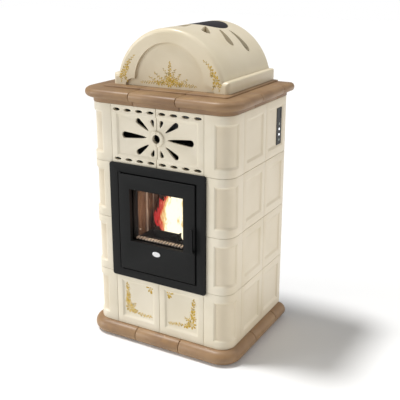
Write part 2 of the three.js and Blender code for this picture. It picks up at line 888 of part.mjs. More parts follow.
function archPanelShape() {
  const centre = plinthTop + archPanelRise;
  const shape = new THREE.Shape();
  const earOuter = archEarReach + archEarWidth;
  shape.moveTo(-earOuter, domeBottom - overrun);
  shape.lineTo(earOuter, domeBottom - overrun);
  shape.lineTo(earOuter, plinthTop);
  shape.absellipse(archEarReach, plinthTop, archEarWidth, archEarHeight, 0, Math.PI / 2);
  shape.lineTo(archPanelRadius, plinthTop + archEarHeight);
  const startAngle = Math.asin((archEarHeight - archPanelRise) / archPanelRadius);
  shape.absarc(0, centre, archPanelRadius, startAngle, Math.PI - startAngle);
  shape.lineTo(-archEarReach, plinthTop + archEarHeight);
  shape.absellipse(-archEarReach, plinthTop, archEarWidth, archEarHeight, Math.PI / 2, Math.PI);
  shape.closePath();
  return shape;
}

function buildDome() {
  const edgeSteps = 3;
  const levels = Array.from({ length: edgeSteps + 1 }, (_, i) => {
    const angle = Math.PI / 2 * i / edgeSteps;
    return {
      y: domeFront + vaultEdgeRadius * (1 - Math.cos(angle)),
      inset: vaultEdgeRadius * (1 - Math.sin(angle)),
    };
  });
  const outer = vaultLoft([...levels, { y: rear, inset: 0 }], domeBottom);
  const innerFront = domeFront + archPanelDepth + vaultWall;
  const innerRear = rear - vaultWall;
  const hollow = vaultLoft(
    [{ y: innerFront, inset: vaultWall }, { y: innerRear, inset: vaultWall }],
    domeBottom - overrun,
  );
  const panel = plateY(archPanelShape(), domeFront - overrun, domeFront + archPanelDepth, 14);
  const top = vaultCentre + vaultRadius + overrun;
  const fillingHole = rodZ(0, lidCentreY, vaultCentre, top, lidRadius + lidGap, roundFacets);
  const petals = petalCutAngles.map((turn) => {
    const angle = THREE.MathUtils.degToRad(turn - 90);
    const outerEnd = petalCutInner + petalCutLength;
    const petal = dropShape(0, lidCentreY, angle, petalCutInner, outerEnd, petalCutWidth / 2);
    return plateZ(petal, vaultCentre, top, 5);
  });
  place('dome', cut(outer, hollow, panel, fillingHole, ...petals), cream);
  const shellInner = vaultRadius - vaultWall;
  const lidFront = lidCentreY - lidRadius - overrun;
  const lid = rodZ(0, lidCentreY, vaultCentre, top, lidRadius, roundFacets)
    .intersect(rodY(0, vaultCentre, lidFront, rear + overrun, vaultRadius, vaultFacets))
    .subtract(rodY(0, vaultCentre, lidFront, rear + overrun, shellInner, vaultFacets));
  place('hopper_lid', lid, blackSteel);
}

// Steel casing: floor, top and a wall that wraps the front and the sides
function buildChassis() {
  const band = [
    [casingInner, floorPlateHeight],
    [casingOffset, floorPlateHeight],
    [casingOffset, casingTop],
    [casingInner, casingTop],
  ];
  const half = sweepOutline(band, [-weldOverlap, ...arcStations(), alongSide(casingRear)], casingInner);
  const wallEdge = slabShape(casingInner + sheet / 2);
  const keep = block(-halfWidth, halfWidth, front, casingRear, 0, casingTop);
  const floorPlate = plateZ(wallEdge, floorPlateHeight, floorPlateHeight + sheet, arcSteps).intersect(keep);
  const topPlate = plateZ(wallEdge, casingTop - sheet, casingTop, arcSteps).intersect(keep);
  const cutBack = casingFrontInner + overrun;
  const doorCut = block(-openingHalfWidth, openingHalfWidth, front, cutBack, openingBottom, openingTop);
  const ventHalf = frontTileWidth - ventSideMargin;
  const ventBottom = courseTop - courseHeight + ventSlotEdge - ventSlotHeight;
  const ventCut = block(-ventHalf, ventHalf, front, cutBack, ventBottom, casingTop - 2 * sheet);
  const panelCut = block(
    halfWidth + casingInner - overrun,
    halfWidth,
    panelCentreY - panelHalfWidth - clearance,
    panelCentreY + panelHalfWidth + clearance,
    panelBottom - clearance,
    panelTop + clearance,
  );
  const neckHole = rodZ(
    0,
    lidCentreY,
    casingTop - sheet - overrun,
    casingTop + overrun,
    neckRadius + clearance,
    roundFacets,
  );
  const casing = join(half, mirrorX(half), floorPlate, topPlate);
  place('chassis', cut(casing, doorCut, ventCut, panelCut, neckHole), greySteel);
}

function buildRearPanel() {
  const half = halfWidth - tileThickness - 2 * clearance;
  const panelFront = casingRear + clearance;
  const panelRear = rear - clearance;
  const upperHalf = corniceWellHalf - clearance;
  const upperLow = casingTop - weldOverlap;
  const slabLow = corniceTop - slabThickness - clearance;
  const plate = join(
    block(-half, half, panelFront, panelRear, floorPlateHeight, casingTop),
    block(-half, half, panelFront, panelRear, upperLow, slabLow),
    block(-upperHalf, upperHalf, panelFront, panelRear, upperLow, plinthTop),
  );
  const flueX = smokeFanX + flueOffset;
  const flueHole = rodY(flueX, smokeFanHeight, panelFront - overrun, rear + overrun, flueRadius + clearance);
  const airZ = hearth - airPipeDrop;
  const airHole = rodY(airPipeX, airZ, panelFront - overrun, rear + overrun, airPipeRadius + clearance, 24);
  const inletHole = block(
    inletX - inletHalfWidth - clearance,
    inletX + inletHalfWidth + clearance,
    panelFront - overrun,
    rear + overrun,
    inletHeight - inletHalfHeight - clearance,
    inletHeight + inletHalfHeight + clearance,
  );
  const slots = [];
  for (const side of [-1, 1]) {
    for (let i = 0; i < rearSlotCount; i += 1) {
      const middle = side * half / 2;
      const z = rearSlotBottom + i * rearSlotPitch;
      const x0 = middle - rearSlotLength / 2;
      slots.push(block(x0, x0 + rearSlotLength, panelFront - overrun, rear + overrun, z, z + rearSlotHeight));
    }
  }
  place('rear_panel', cut(plate, flueHole, airHole, inletHole, ...slots), blackSteel);
}

// Surround plate with its lip, and the two hinge ears with their pins
function buildSurround() {
  const back = front - clearance;
  const plateFront = back - surroundThickness;
  const plate = plateY(
    roundedRectangle(-surroundHalfWidth, surroundHalfWidth, surroundBottom, surroundTop, surroundCorner),
    plateFront,
    back,
    4,
  );
  const lipBack = front + tileThickness;
  const lip = block(
    -openingHalfWidth - sheet,
    openingHalfWidth + sheet,
    back - weldOverlap,
    lipBack,
    openingBottom - sheet,
    openingTop + sheet,
  );
  const hole = block(
    -openingHalfWidth,
    openingHalfWidth,
    plateFront - overrun,
    lipBack + overrun,
    openingBottom,
    openingTop,
  );
  const earFront = hingeY - hingeEarHalf;
  const earGap = doorGap - clearance;
  const hinges = [
    {
      ear: [openingTop - earGap, openingTop + weldOverlap],
      pin: [doorTop - hingePinLength, openingTop - weldOverlap],
    },
    {
      ear: [openingBottom - weldOverlap, openingBottom + earGap],
      pin: [openingBottom + weldOverlap, doorBottom + hingePinLength],
    },
  ];
  const parts = hinges.flatMap(({ ear, pin }) => [
    block(hingeX - hingeEarHalf, hingeX + hingeEarHalf, earFront, back, ear[0], ear[1]),
    rodZ(hingeX, hingeY, pin[0], pin[1], hingePinRadius, 16),
  ]);
  place('surround', join(cut(join(plate, lip), hole), ...parts), blackSteel);
}

function buildDoor() {
  const plate = block(-doorHalfWidth, doorHalfWidth, doorFront, doorBack, doorBottom, doorTop);
  const window = block(
    -windowHalfWidth,
    windowHalfWidth,
    doorFront - overrun,
    doorBack + overrun,
    windowBottom,
    windowTop,
  );
  const seatHalf = windowHalfWidth + glassOverlap;
  const rebate = block(
    -seatHalf,
    seatHalf,
    doorBack - rebateDepth,
    doorBack + overrun,
    windowBottom - glassOverlap,
    windowTop + glassOverlap,
  );
  const boreRadius = hingePinRadius + clearance;
  const boreDepth = hingePinLength + clearance;
  const lowerBore = rodZ(hingeX, hingeY, doorBottom - overrun, doorBottom + boreDepth, boreRadius, 16);
  const upperBore = rodZ(hingeX, hingeY, doorTop - boreDepth, doorTop + overrun, boreRadius, 16);
  const spindleBore = rodY(
    handleX,
    handlePivotHeight,
    doorFront - overrun,
    doorBack + overrun,
    spindleRadius + clearance,
    24,
  );
  place('door_frame', cut(plate, window, rebate, lowerBore, upperBore, spindleBore), blackSteel);

  const glassFront = doorBack - rebateDepth + clearance;
  const glassHalf = seatHalf - clearance;
  const glass = block(
    -glassHalf,
    glassHalf,
    glassFront,
    glassFront + glassThickness,
    windowBottom - glassOverlap + clearance,
    windowTop + glassOverlap - clearance,
  );
  place('door_glass', glass, clearGlass);

  const outerHalf = doorHalfWidth - gasketInset;
  const innerHalf = outerHalf - gasketWidth;
  const gasketFront = doorBack + clearance;
  const ring = cut(
    block(-outerHalf, outerHalf, gasketFront, gasketBack, doorBottom + gasketInset, doorTop - gasketInset),
    block(
      -innerHalf,
      innerHalf,
      gasketFront - overrun,
      gasketBack + overrun,
      doorBottom + gasketInset + gasketWidth,
      doorTop - gasketInset - gasketWidth,
    ),
  );
  place('door_gasket', ring, ropeGrey);

  const badgeShape = new THREE.Shape();
  badgeShape.absellipse(0, badgeHeight, badgeHalfWidth, badgeHalfHeight, 0, Math.PI * 2);
  const badgeBack = doorFront - clearance;
  place('badge', plateY(badgeShape, badgeBack - badgeThickness, badgeBack, 20), brightMetal);
}

// Handle: a bar on a boss, with its spindle and latch cam behind the door
function buildHandle() {
  const bossBack = doorFront - clearance;
  const barBack = doorFront - handleFingerGap;
  const barFront = barBack - handleThickness;
  const boss = rodY(handleX, handlePivotHeight, barFront, bossBack, handleBossRadius, 24);
  const barShape = roundedRectangle(
    handleX - handleWidth / 2,
    handleX + handleWidth / 2,
    handlePivotHeight,
    handlePivotHeight + handleLength,
    handleWidth / 3,
  );
  const bar = plateY(barShape, barFront, barBack, 4);
  const camFront = doorBack + clearance;
  const camBack = camFront + camThickness;
  const spindle = rodY(
    handleX,
    handlePivotHeight,
    bossBack - weldOverlap,
    camFront + weldOverlap,
    spindleRadius,
    24,
  );
  const cam = block(
    handleX - camWidth / 2,
    handleX + camLength,
    camFront,
    camBack,
    handlePivotHeight - camWidth / 2,
    handlePivotHeight + camWidth / 2,
  );
  place('door_handle', join(boss, bar, spindle, cam), blackSteel);
}

// Axis of the auger in the middle plane, rising forwards at 45 degrees
const slope = Math.SQRT1_2;
function augerPoint(reach) {
  return [augerLowerY - reach * slope, augerLowerZ + reach * slope];
}
const augerLength = augerRun / slope;
const chuteTop = augerPoint(augerLength - augerTubeRadius);
const chuteReach = chuteTop[0] - fireboxBack;

function chuteRod(radius, extra) {
  const start = [chuteTop[0], chuteTop[1]];
  const end = [fireboxBack - extra, chuteTop[1] - chuteReach - extra];
  return rodBetween(start, end, radius);
}

function buildFirebox() {
  const outerHalf = fireboxInnerHalf + fireboxWall;
  const shell = block(
    -outerHalf,
    outerHalf,
    flangeFront,
    fireboxBack,
    ashFloor - fireboxWall,
    chamberTop + fireboxWall,
  );
  const flangeHalf = openingHalfWidth + flangeMargin;
  const flange = block(
    -flangeHalf,
    flangeHalf,
    flangeFront,
    flangeFront + fireboxWall,
    openingBottom - flangeMargin,
    openingTop + flangeMargin,
  );
  const chamber = block(
    -fireboxInnerHalf,
    fireboxInnerHalf,
    flangeFront + fireboxWall,
    fireboxInnerBack,
    hearth,
    chamberTop,
  );
  const mouthTop = doorTop - gasketInset - gasketWidth - flangeMargin;
  const mouth = block(
    -windowHalfWidth,
    windowHalfWidth,
    flangeFront - overrun,
    flangeFront + overrun,
    hearth,
    mouthTop,
  );
  const ashSpace = block(
    -ashHalfWidth,
    ashHalfWidth,
    flangeFront - overrun,
    fireboxInnerBack,
    ashFloor,
    hearth - hearthThickness,
  );
  const potBottomX = potHalfWidth - 2 * potTaper;
  const potBottomY = potHalfDepth - 2 * potTaper;
  const potHole = block(
    -potBottomX,
    potBottomX,
    potY - potBottomY,
    potY + potBottomY,
    hearth - hearthThickness - overrun,
    hearth + overrun,
  );
  const slots = Array.from({ length: grateSlotCount }, (_, i) => {
    const pitch = 2 * windowHalfWidth / grateSlotCount;
    const x = -windowHalfWidth + pitch * (i + 0.5);
    const y0 = linerFront + grateSlotSetback;
    return block(
      x - grateSlotWidth / 2,
      x + grateSlotWidth / 2,
      y0,
      y0 + grateSlotDepth,
      hearth - hearthThickness - overrun,
      hearth + overrun,
    );
  });
  const airZ = hearth - airPipeDrop;
  const airPipe = rodY(airPipeX, airZ, fireboxBack - weldOverlap, rear - clearance, airPipeRadius, 24);
  const airBoreRadius = airPipeRadius - airPipeWall;
  const airBore = rodY(airPipeX, airZ, fireboxInnerBack - overrun, rear + overrun, airBoreRadius, 24);
  const outletTop = chamberTop - fireboxWall;
  const smokeOutlet = block(
    smokeFanX - smokeOutletWidth / 2,
    smokeFanX + smokeOutletWidth / 2,
    fireboxInnerBack - overrun,
    fireboxBack + overrun,
    outletTop - smokeOutletHeight,
    outletTop,
  );
  const feedHole = chuteRod(chuteRadius - chuteWall, 2 * linerThickness + fireboxWall);
  const igniterHole = rodY(
    0,
    hearth + igniterRise,
    fireboxInnerBack - overrun,
    fireboxBack + overrun,
    igniterRadius + clearance,
    20,
  );
  const weldment = join(shell, flange, airPipe);
  place(
    'firebox',
    cut(weldment, chamber, mouth, ashSpace, potHole, airBore, smokeOutlet, feedHole, igniterHole, ...slots),
    castIron,
  );
}

// Cast liner: ribbed sides and back, seen through the glass
function linerShape() {
  const outer = windowHalfWidth + linerThickness;
  const back = linerBack + linerThickness;
  const shape = new THREE.Shape();
  shape.moveTo(-outer, linerFront);
  shape.lineTo(-outer, back);
  shape.lineTo(outer, back);
  shape.lineTo(outer, linerFront);
  const inner = [];
  const ribHalf = linerRibPitch / 4;
  const sideRibs = Math.floor(chamberDepth / linerRibPitch);
  const face = windowHalfWidth;
  inner.push([face, linerFront]);
  for (let i = 0; i < sideRibs; i += 1) {
    const y = linerFront + chamberDepth * (i + 0.5) / sideRibs;
    inner.push([face, y - ribHalf], [face - linerRib, y - ribHalf / 2]);
    inner.push([face - linerRib, y + ribHalf / 2], [face, y + ribHalf]);
  }
  inner.push([face, linerBack]);
  const backRibs = Math.floor(windowHalfWidth / linerRibPitch);
  for (let i = 0; i < backRibs; i += 1) {
    const x = face * (1 - (i + 0.5) / backRibs);
    inner.push([x + ribHalf, linerBack], [x + ribHalf / 2, linerBack - linerRib]);
    inner.push([x - ribHalf / 2, linerBack - linerRib], [x - ribHalf, linerBack]);
  }
  const mirrored = [...inner].reverse().map(([x, y]) => [-x, y]);
  for (const [x, y] of [...inner, ...mirrored]) shape.lineTo(x, y);
  shape.closePath();
  return shape;
}

function buildFireboxInsides() {
  const feedHole = chuteRod(chuteRadius - chuteWall, 3 * linerThickness + fireboxWall);
  const igniterHole = rodY(
    0,
    hearth + igniterRise,
    linerBack - linerRib - overrun,
    fireboxBack,
    igniterRadius + clearance,
    20,
  );
  place('firebox_liner', cut(plateZ(linerShape(), linerBottom, linerTop), feedHole, igniterHole), refractory);

  const baffleHalf = windowHalfWidth + linerThickness;
  const baffleBottom = linerTop + clearance;
  const baffle = block(
    -baffleHalf,
    baffleHalf,
    linerFront,
    linerBack,
    baffleBottom,
    baffleBottom + baffleThickness,
  );
  place('baffle', baffle, refractory);

  const rectangle = (halfX, halfY, z) => [
    [-halfX, potY - halfY, z],
    [halfX, potY - halfY, z],
    [halfX, potY + halfY, z],
    [-halfX, potY + halfY, z],
  ];
  const potBottom = hearth + clearance;
  const potTop = potBottom + potHeight;
  const square = (halfX, halfY) => [[-halfX, -halfY], [halfX, -halfY], [halfX, halfY], [-halfX, halfY]];
  const footX = potHalfWidth - potTaper;
  const footY = potHalfDepth - potTaper;
  const outside = loft(
    [rectangle(footX, footY, potBottom), rectangle(potHalfWidth, potHalfDepth, potTop)],
    square(footX, footY),
  );
  const inside = loft(
    [
      rectangle(footX - potWall, footY - potWall, potBottom + potWall),
      rectangle(potHalfWidth - potWall, potHalfDepth - potWall, potTop + clearance),
    ],
    square(footX, footY),
  );
  const holes = [];
  for (let i = 0; i < potHoleColumns; i += 1) {
    for (let j = 0; j < potHoleRows; j += 1) {
      const x = (i - (potHoleColumns - 1) / 2) * potHolePitch;
      const y = potY + (j - (potHoleRows - 1) / 2) * potHolePitch;
      holes.push(rodZ(x, y, potBottom - overrun, potBottom + potWall + overrun, potHoleRadius, 8));
    }
  }
  const igniterPort = rodY(0, hearth + igniterRise, potY, potY + potHalfDepth + overrun, igniterRadius, 16);
  place('burn_pot', cut(outside, inside, igniterPort, ...holes), castIron);

  const igniterFront = potY + potHalfDepth + clearance;
  const igniter = join(
    rodY(0, hearth + igniterRise, igniterFront, fireboxBack + igniterTail, igniterRadius, 16),
    rodY(0, hearth + igniterRise, fireboxBack + clearance, fireboxBack + igniterTail, 2 * igniterRadius, 16),
  );
  place('igniter', igniter, greySteel);
}

function buildAshDrawer() {
  const half = ashHalfWidth - clearance;
  const bottom = ashFloor + clearance;
  const top = bottom + ashDrawerHeight;
  const drawerFront = flangeFront + clearance;
  const drawerBack = fireboxInnerBack - clearance;
  const tray = cut(
    block(-half, half, drawerFront, drawerBack, bottom, top),
    block(
      -half + ashWall,
      half - ashWall,
      drawerFront + ashWall,
      drawerBack - ashWall,
      bottom + ashWall,
      top + overrun,
    ),
  );
  const pull = block(
    -ashPullWidth / 2,
    ashPullWidth / 2,
    drawerFront - ashPullReach,
    drawerFront + ashWall,
    top - ashWall,
    top,
  );
  place('ash_drawer', join(tray, pull), greySteel);
}

// Hopper: box, funnel, filling neck, auger tube and drop chute welded together
function frustum(low, high) {
  const ring = ({ x0, x1, y0, y1, z }) => [[x0, y0, z], [x1, y0, z], [x1, y1, z], [x0, y1, z]];
  const flat = [[low.x0, low.y0], [low.x1, low.y0], [low.x1, low.y1], [low.x0, low.y1]];
  return loft([ring(low), ring(high)], flat);
}

function hopperSpace(inset, top) {
  const funnelTop = hopperTop - hopperStraight;
  const high = {
    x0: -hopperHalfWidth + inset,
    x1: hopperHalfWidth - inset,
    y0: hopperFront + inset,
    y1: hopperRear - inset,
    z: funnelTop,
  };
  const low = {
    x0: -hopperThroatHalf + inset,
    x1: hopperThroatHalf - inset,
    y0: hopperThroatRear - 2 * hopperThroatHalf + inset,
    y1: hopperThroatRear - inset,
    z: hopperThroatBottom,
  };
  const upper = block(high.x0, high.x1, high.y0, high.y1, funnelTop - weldOverlap, top);
  return join(upper, frustum(low, high));
}

const hopperTop = casingTop - sheet - clearance;

function buildHopper() {
  const tubeEnd = augerPoint(augerLength + augerTubeWall);
  const tubeStart = augerPoint(-augerTubeWall);
  const neckTop = vaultCentre + vaultRadius;
  const underLid = rodY(0, vaultCentre, front, rear, vaultRadius - vaultWall - clearance, vaultFacets);
  const underVault = block(-hopperHalfWidth, hopperHalfWidth, front, rear, hopperTop - overrun, vaultCentre);
  const neck = rodZ(0, lidCentreY, hopperTop - hopperWall, neckTop, neckRadius, roundFacets)
    .intersect(join(underLid, underVault));
  const outer = join(
    hopperSpace(0, hopperTop),
    rodBetween(tubeStart, tubeEnd, augerTubeRadius),
    chuteRod(chuteRadius, overrun),
    neck,
  );
  const neckBore = rodZ(
    0,
    lidCentreY,
    hopperTop - hopperWall - overrun,
    neckTop,
    neckRadius - neckWall,
    roundFacets,
  );
  const shaftHole = rodBetween(
    augerPoint(-2 * augerTubeWall),
    augerPoint(augerTubeWall),
    augerShaftRadius + clearance,
  );
  const fireboxSide = block(
    -hopperHalfWidth,
    hopperHalfWidth,
    front,
    fireboxBack + clearance,
    hopperThroatBottom - hopperHalfWidth,
    hopperTop,
  );
  const body = cut(
    outer,
    hopperSpace(hopperWall, hopperTop - hopperWall),
    rodBetween(augerPoint(0), augerPoint(augerLength), augerTubeRadius - augerTubeWall),
    chuteRod(chuteRadius - chuteWall, 2 * overrun),
    neckBore,
    shaftHole,
    fireboxSide,
  );
  place('hopper', body, greySteel);
}

// Auger: a helical flight on its shaft, built upright and then leaned into the tube
function buildAuger() {
  const flightStart = augerTubeWall;
  const flightLength = augerLength - 2 * augerTubeWall;
  const stepsPerTurn = 8;
  const steps = Math.round(flightLength / augerPitch * stepsPerTurn);
  const rings = Array.from({ length: steps + 1 }, (_, i) => {
    const height = flightStart + (flightLength - augerFlightThickness) * i / steps;
    const angle = 2 * Math.PI * i / stepsPerTurn;
    const corner = (radius, rise) => [radius * Math.cos(angle), radius * Math.sin(angle), height + rise];
    const root = augerShaftRadius / 2;
    return [
      corner(root, 0),
      corner(augerFlightRadius, 0),
      corner(augerFlightRadius, augerFlightThickness),
      corner(root, augerFlightThickness),
    ];
  });
  const flat = [[0, 0], [1, 0], [1, 1], [0, 1]];
  const flight = loft(rings, flat);
  const shaftStart = -augerTubeWall - clearance - gearboxLength / 2;
  const shaft = rodZ(0, 0, shaftStart, augerLength - augerTubeWall, augerShaftRadius, 16);
  const mesh = place('auger_screw', join(flight, shaft), greySteel);
  mesh.rotation.x = Math.PI / 4;
  mesh.position.y = augerLowerY;
  mesh.position.z = augerLowerZ;

  const gearTop = -augerTubeWall - clearance;
  const gearBottom = gearTop - gearboxLength;
  const motorBottom = gearBottom - gearMotorLength;
  const gearbox = block(-gearboxHalf, gearboxHalf, -gearboxHalf, gearboxHalf, gearBottom, gearTop);
  const motor = rodZ(0, 0, motorBottom, gearBottom + weldOverlap, gearMotorRadius, 24);
  const shaftBore = rodZ(0, 0, shaftStart - clearance, gearTop + overrun, augerShaftRadius + clearance, 16);
  const motorMesh = place('auger_motor', cut(join(gearbox, motor), shaftBore), greySteel);
  motorMesh.rotation.copy(mesh.rotation);
  motorMesh.position.copy(mesh.position);
}

// A fan wheel on its shaft, along Y
function fanRotor(x, z, discY, bladeFront, bladeInner, bladeOuter, shaftFront, shaftRear) {
  const disc = rodY(x, z, discY, discY + fanDiscThickness, bladeOuter);
  const shaft = rodY(x, z, shaftFront, shaftRear, fanShaftRadius, 16);
  const blades = Array.from({ length: fanBladeCount }, (_, i) => {
    const half = fanBladeThickness / 2;
    const geometry = new THREE.BoxGeometry(bladeOuter - bladeInner, discY - bladeFront + half, 2 * half);
    geometry.translate((bladeInner + bladeOuter) / 2 - half, (discY + bladeFront + half) / 2, 0);
    geometry.rotateY(2 * Math.PI * i / fanBladeCount).translate(x, 0, z);
    return solid(geometry);
  });
  return join(disc, shaft, ...blades);
}

function buildSmokeFan() {
  const ductFront = fireboxBack + clearance;
  const ductBack = ductFront + ductDepth;
  const ductHalf = smokeOutletWidth / 2 + 2 * ductWall;
  const duct = block(
    smokeFanX - ductHalf,
    smokeFanX + ductHalf,
    ductFront,
    ductBack,
    smokeFanHeight - smokeInletRadius - ductWall,
    chamberTop,
  );
  const ductInside = block(
    smokeFanX - ductHalf + ductWall,
    smokeFanX + ductHalf - ductWall,
    ductFront + ductWall,
    ductBack - ductWall,
    smokeFanHeight - smokeInletRadius,
    chamberTop - ductWall,
  );
  const outletTop = chamberTop - fireboxWall;
  const smokeOutlet = block(
    smokeFanX - smokeOutletWidth / 2,
    smokeFanX + smokeOutletWidth / 2,
    ductFront - overrun,
    ductFront + overrun,
    outletTop - smokeOutletHeight,
    outletTop,
  );
  const scrollFront = ductBack - ductWall;
  const scrollBack = scrollFront + smokeFanDepth;
  const flueX = smokeFanX + flueOffset;
  const flueEnd = -(front - noseOverhang);
  const motorFront = ductFront - smokeMotorLength;
  const outer = join(
    duct,
    rodY(smokeFanX, smokeFanHeight, scrollFront, scrollBack, smokeFanRadius, roundFacets),
    rodY(flueX, smokeFanHeight, scrollBack - ductWall, flueEnd, flueRadius),
    rodY(smokeFanX, smokeFanHeight, motorFront, ductFront + ductWall, smokeMotorRadius, 24),
    block(
      smokeFanX - bracketHalf,
      smokeFanX + bracketHalf,
      scrollFront,
      scrollBack,
      floorPlateHeight + sheet + clearance,
      smokeFanHeight - smokeFanRadius + 2 * ductWall,
    ),
  );
  const shaftFront = motorFront + ductWall;
  const inner = [
    ductInside,
    smokeOutlet,
    rodY(
      smokeFanX,
      smokeFanHeight,
      scrollFront + ductWall,
      scrollBack - ductWall,
      smokeFanRadius - ductWall,
      roundFacets,
    ),
    rodY(smokeFanX, smokeFanHeight, scrollFront - overrun, scrollFront + overrun, smokeInletRadius - ductWall),
    rodY(flueX, smokeFanHeight, scrollBack - overrun, flueEnd + overrun, flueRadius - flueWall),
    rodY(smokeFanX, smokeFanHeight, shaftFront - clearance, ductFront + overrun, fanShaftRadius + clearance, 16),
  ];
  place('exhaust_housing', cut(outer, ...inner), greySteel);
  const bladeOuter = smokeFanRadius - fanRunningGap;
  const discY = scrollBack - fanRunningGap;
  const rotor = fanRotor(
    smokeFanX,
    smokeFanHeight,
    discY,
    scrollFront + fanRunningGap,
    bladeOuter * smokeBladeShare,
    bladeOuter,
    shaftFront,
    discY + fanDiscThickness,
  );
  place('exhaust_rotor', rotor, greySteel);
}

function buildRoomFan() {
  const scrollFront = roomFanY - roomFanDepth / 2;
  const scrollBack = roomFanY + roomFanDepth / 2;
  const outletTop = roomFanHeight + roomFanOutletRise;
  const outletLeft = roomFanX - roomFanRadius;
  const motorRear = scrollBack + roomMotorLength;
  const outer = join(
    rodY(roomFanX, roomFanHeight, scrollFront, scrollBack, roomFanRadius, roundFacets),
    block(outletLeft, roomFanX, scrollFront, scrollBack, roomFanHeight, outletTop),
    rodY(roomFanX, roomFanHeight, scrollBack - ductWall, motorRear, roomMotorRadius, 24),
    block(
      roomFanX - bracketHalf,
      roomFanX + bracketHalf,
      scrollFront,
      scrollBack,
      floorPlateHeight + sheet + clearance,
      roomFanHeight - roomFanRadius + 2 * ductWall,
    ),
  );
  const shaftRear = motorRear - ductWall;
  const inner = [
    rodY(
      roomFanX,
      roomFanHeight,
      scrollFront + ductWall,
      scrollBack - ductWall,
      roomFanRadius - ductWall,
      roundFacets,
    ),
    block(
      outletLeft + ductWall,
      roomFanX - ductWall,
      scrollFront + ductWall,
      scrollBack - ductWall,
      roomFanHeight,
      outletTop + overrun,
    ),
    rodY(roomFanX, roomFanHeight, scrollFront - overrun, scrollFront + overrun, roomFanInlet),
    rodY(roomFanX, roomFanHeight, scrollBack - overrun, shaftRear + clearance, fanShaftRadius + clearance, 16),
  ];
  place('room_fan_housing', cut(outer, ...inner), greySteel);
  const bladeOuter = roomFanRadius - fanRunningGap;
  const discY = scrollBack - fanRunningGap;
  const rotor = fanRotor(
    roomFanX,
    roomFanHeight,
    discY,
    scrollFront + fanRunningGap,
    bladeOuter * roomBladeShare,
    bladeOuter,
    scrollFront + fanRunningGap,
    shaftRear,
  );
  place('room_fan_rotor', rotor, greySteel);
}

// Control strip with a display window and four push buttons
function buildControls() {
  const face = sideRecessDepthX + panelProud;
  const strip = block(
    face - panelDepth,
    face,
    panelCentreY - panelHalfWidth,
    panelCentreY + panelHalfWidth,
    panelBottom,
    panelTop,
  );
  const display = block(
    face - displayDepth,
    face + overrun,
    panelCentreY - displayHalfWidth,
    panelCentreY + displayHalfWidth,
    displayBottom,
    displayTop,
  );
  const bores = buttonHeights.map((z) => (
    rodX(panelCentreY, z, face - buttonBoreDepth, face + overrun, buttonBore, 16)
  ));
  place('control_panel', cut(strip, display, ...bores), blackPlastic);
  buttonHeights.forEach((z, i) => {
    const outerFace = face + buttonProud;
    const button = rodX(panelCentreY, z, outerFace - buttonLength, outerFace, buttonRadius, 16);
    place(`button_${i + 1}`, button, whitePlastic);
  });
}

function buildInlet() {
  const flangeFace = rear + inletFlangeThickness;
  const body = join(
    block(
      inletX - inletHalfWidth,
      inletX + inletHalfWidth,
      rear - inletDepth,
      rear + weldOverlap,
      inletHeight - inletHalfHeight,
      inletHeight + inletHalfHeight,
    ),
    block(
      inletX - inletHalfWidth - inletFlangeRim,
      inletX + inletHalfWidth + inletFlangeRim,
      rear,
      flangeFace,
      inletHeight - inletHalfHeight - inletFlangeRim,
      inletHeight + inletHalfHeight + inletFlangeRim,
    ),
  );
  const socketX = inletX + socketOffset;
  const socketBack = flangeFace - socketDepth;
  const socket = block(
    socketX - socketHalfWidth,
    socketX + socketHalfWidth,
    socketBack,
    flangeFace + overrun,
    inletHeight - socketHalfHeight,
    inletHeight + socketHalfHeight,
  );
  const rockerX = inletX + rockerOffset;
  const pocketHeight = rockerHalfHeight + rockerPocketMargin;
  const pocket = block(
    rockerX - rockerHalfWidth - clearance,
    rockerX + rockerHalfWidth + clearance,
    flangeFace - rockerPocketDepth,
    flangeFace + overrun,
    inletHeight - pocketHeight,
    inletHeight + pocketHeight,
  );
  const contacts = [-1, 0, 1].map((step) => block(
    socketX + step * contactPitch - contactHalfWidth / 2,
    socketX + step * contactPitch + contactHalfWidth / 2,
    socketBack - weldOverlap,
    socketBack + contactLength,
    inletHeight - contactHalfHeight * 2,
    inletHeight + contactHalfHeight * 2,
  ));
  place('power_inlet', join(cut(body, socket, pocket), ...contacts), blackPlastic);

  const half = rockerHalfHeight;
  const shape = new THREE.Shape();
  shape.moveTo(-half, -rockerBack);
  shape.lineTo(half, -rockerBack);
  shape.lineTo(half, rockerRise);
  shape.lineTo(0, rockerDip);
  shape.lineTo(-half, rockerRise);
  shape.closePath();
  const extruded = new THREE.ExtrudeGeometry(shape, { depth: 2 * rockerHalfWidth, bevelEnabled: false });
  extruded.translate(0, 0, -rockerHalfWidth).rotateY(Math.PI / 2);
  const rocker = place('power_switch', solid(extruded), blackPlastic);
  rocker.rotation.x = rockerTilt;
  rocker.position.set(rockerX, rear, inletHeight);
}

buildBase();
buildFeet();
buildTiles();
buildVentTiles();
buildCornice();
buildDome();
buildChassis();
buildRearPanel();
buildSurround();
buildDoor();
buildHandle();
buildFirebox();
buildFireboxInsides();
buildAshDrawer();
buildHopper();
buildAuger();
buildSmokeFan();
buildRoomFan();
buildControls();
buildInlet();

export default stove;
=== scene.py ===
# %% [markdown]
# # A tiled pellet stove
# The stove is a steel machine dressed in glazed ceramic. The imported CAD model
# gives every part its place. This lesson models the parts that the eye rests
# on, and paints all the others. Lengths are written in millimetres and turned
# into metres at the last moment.

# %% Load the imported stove
import json
import math
import random

import bmesh
import bpy
from mathutils import Matrix, Vector, noise

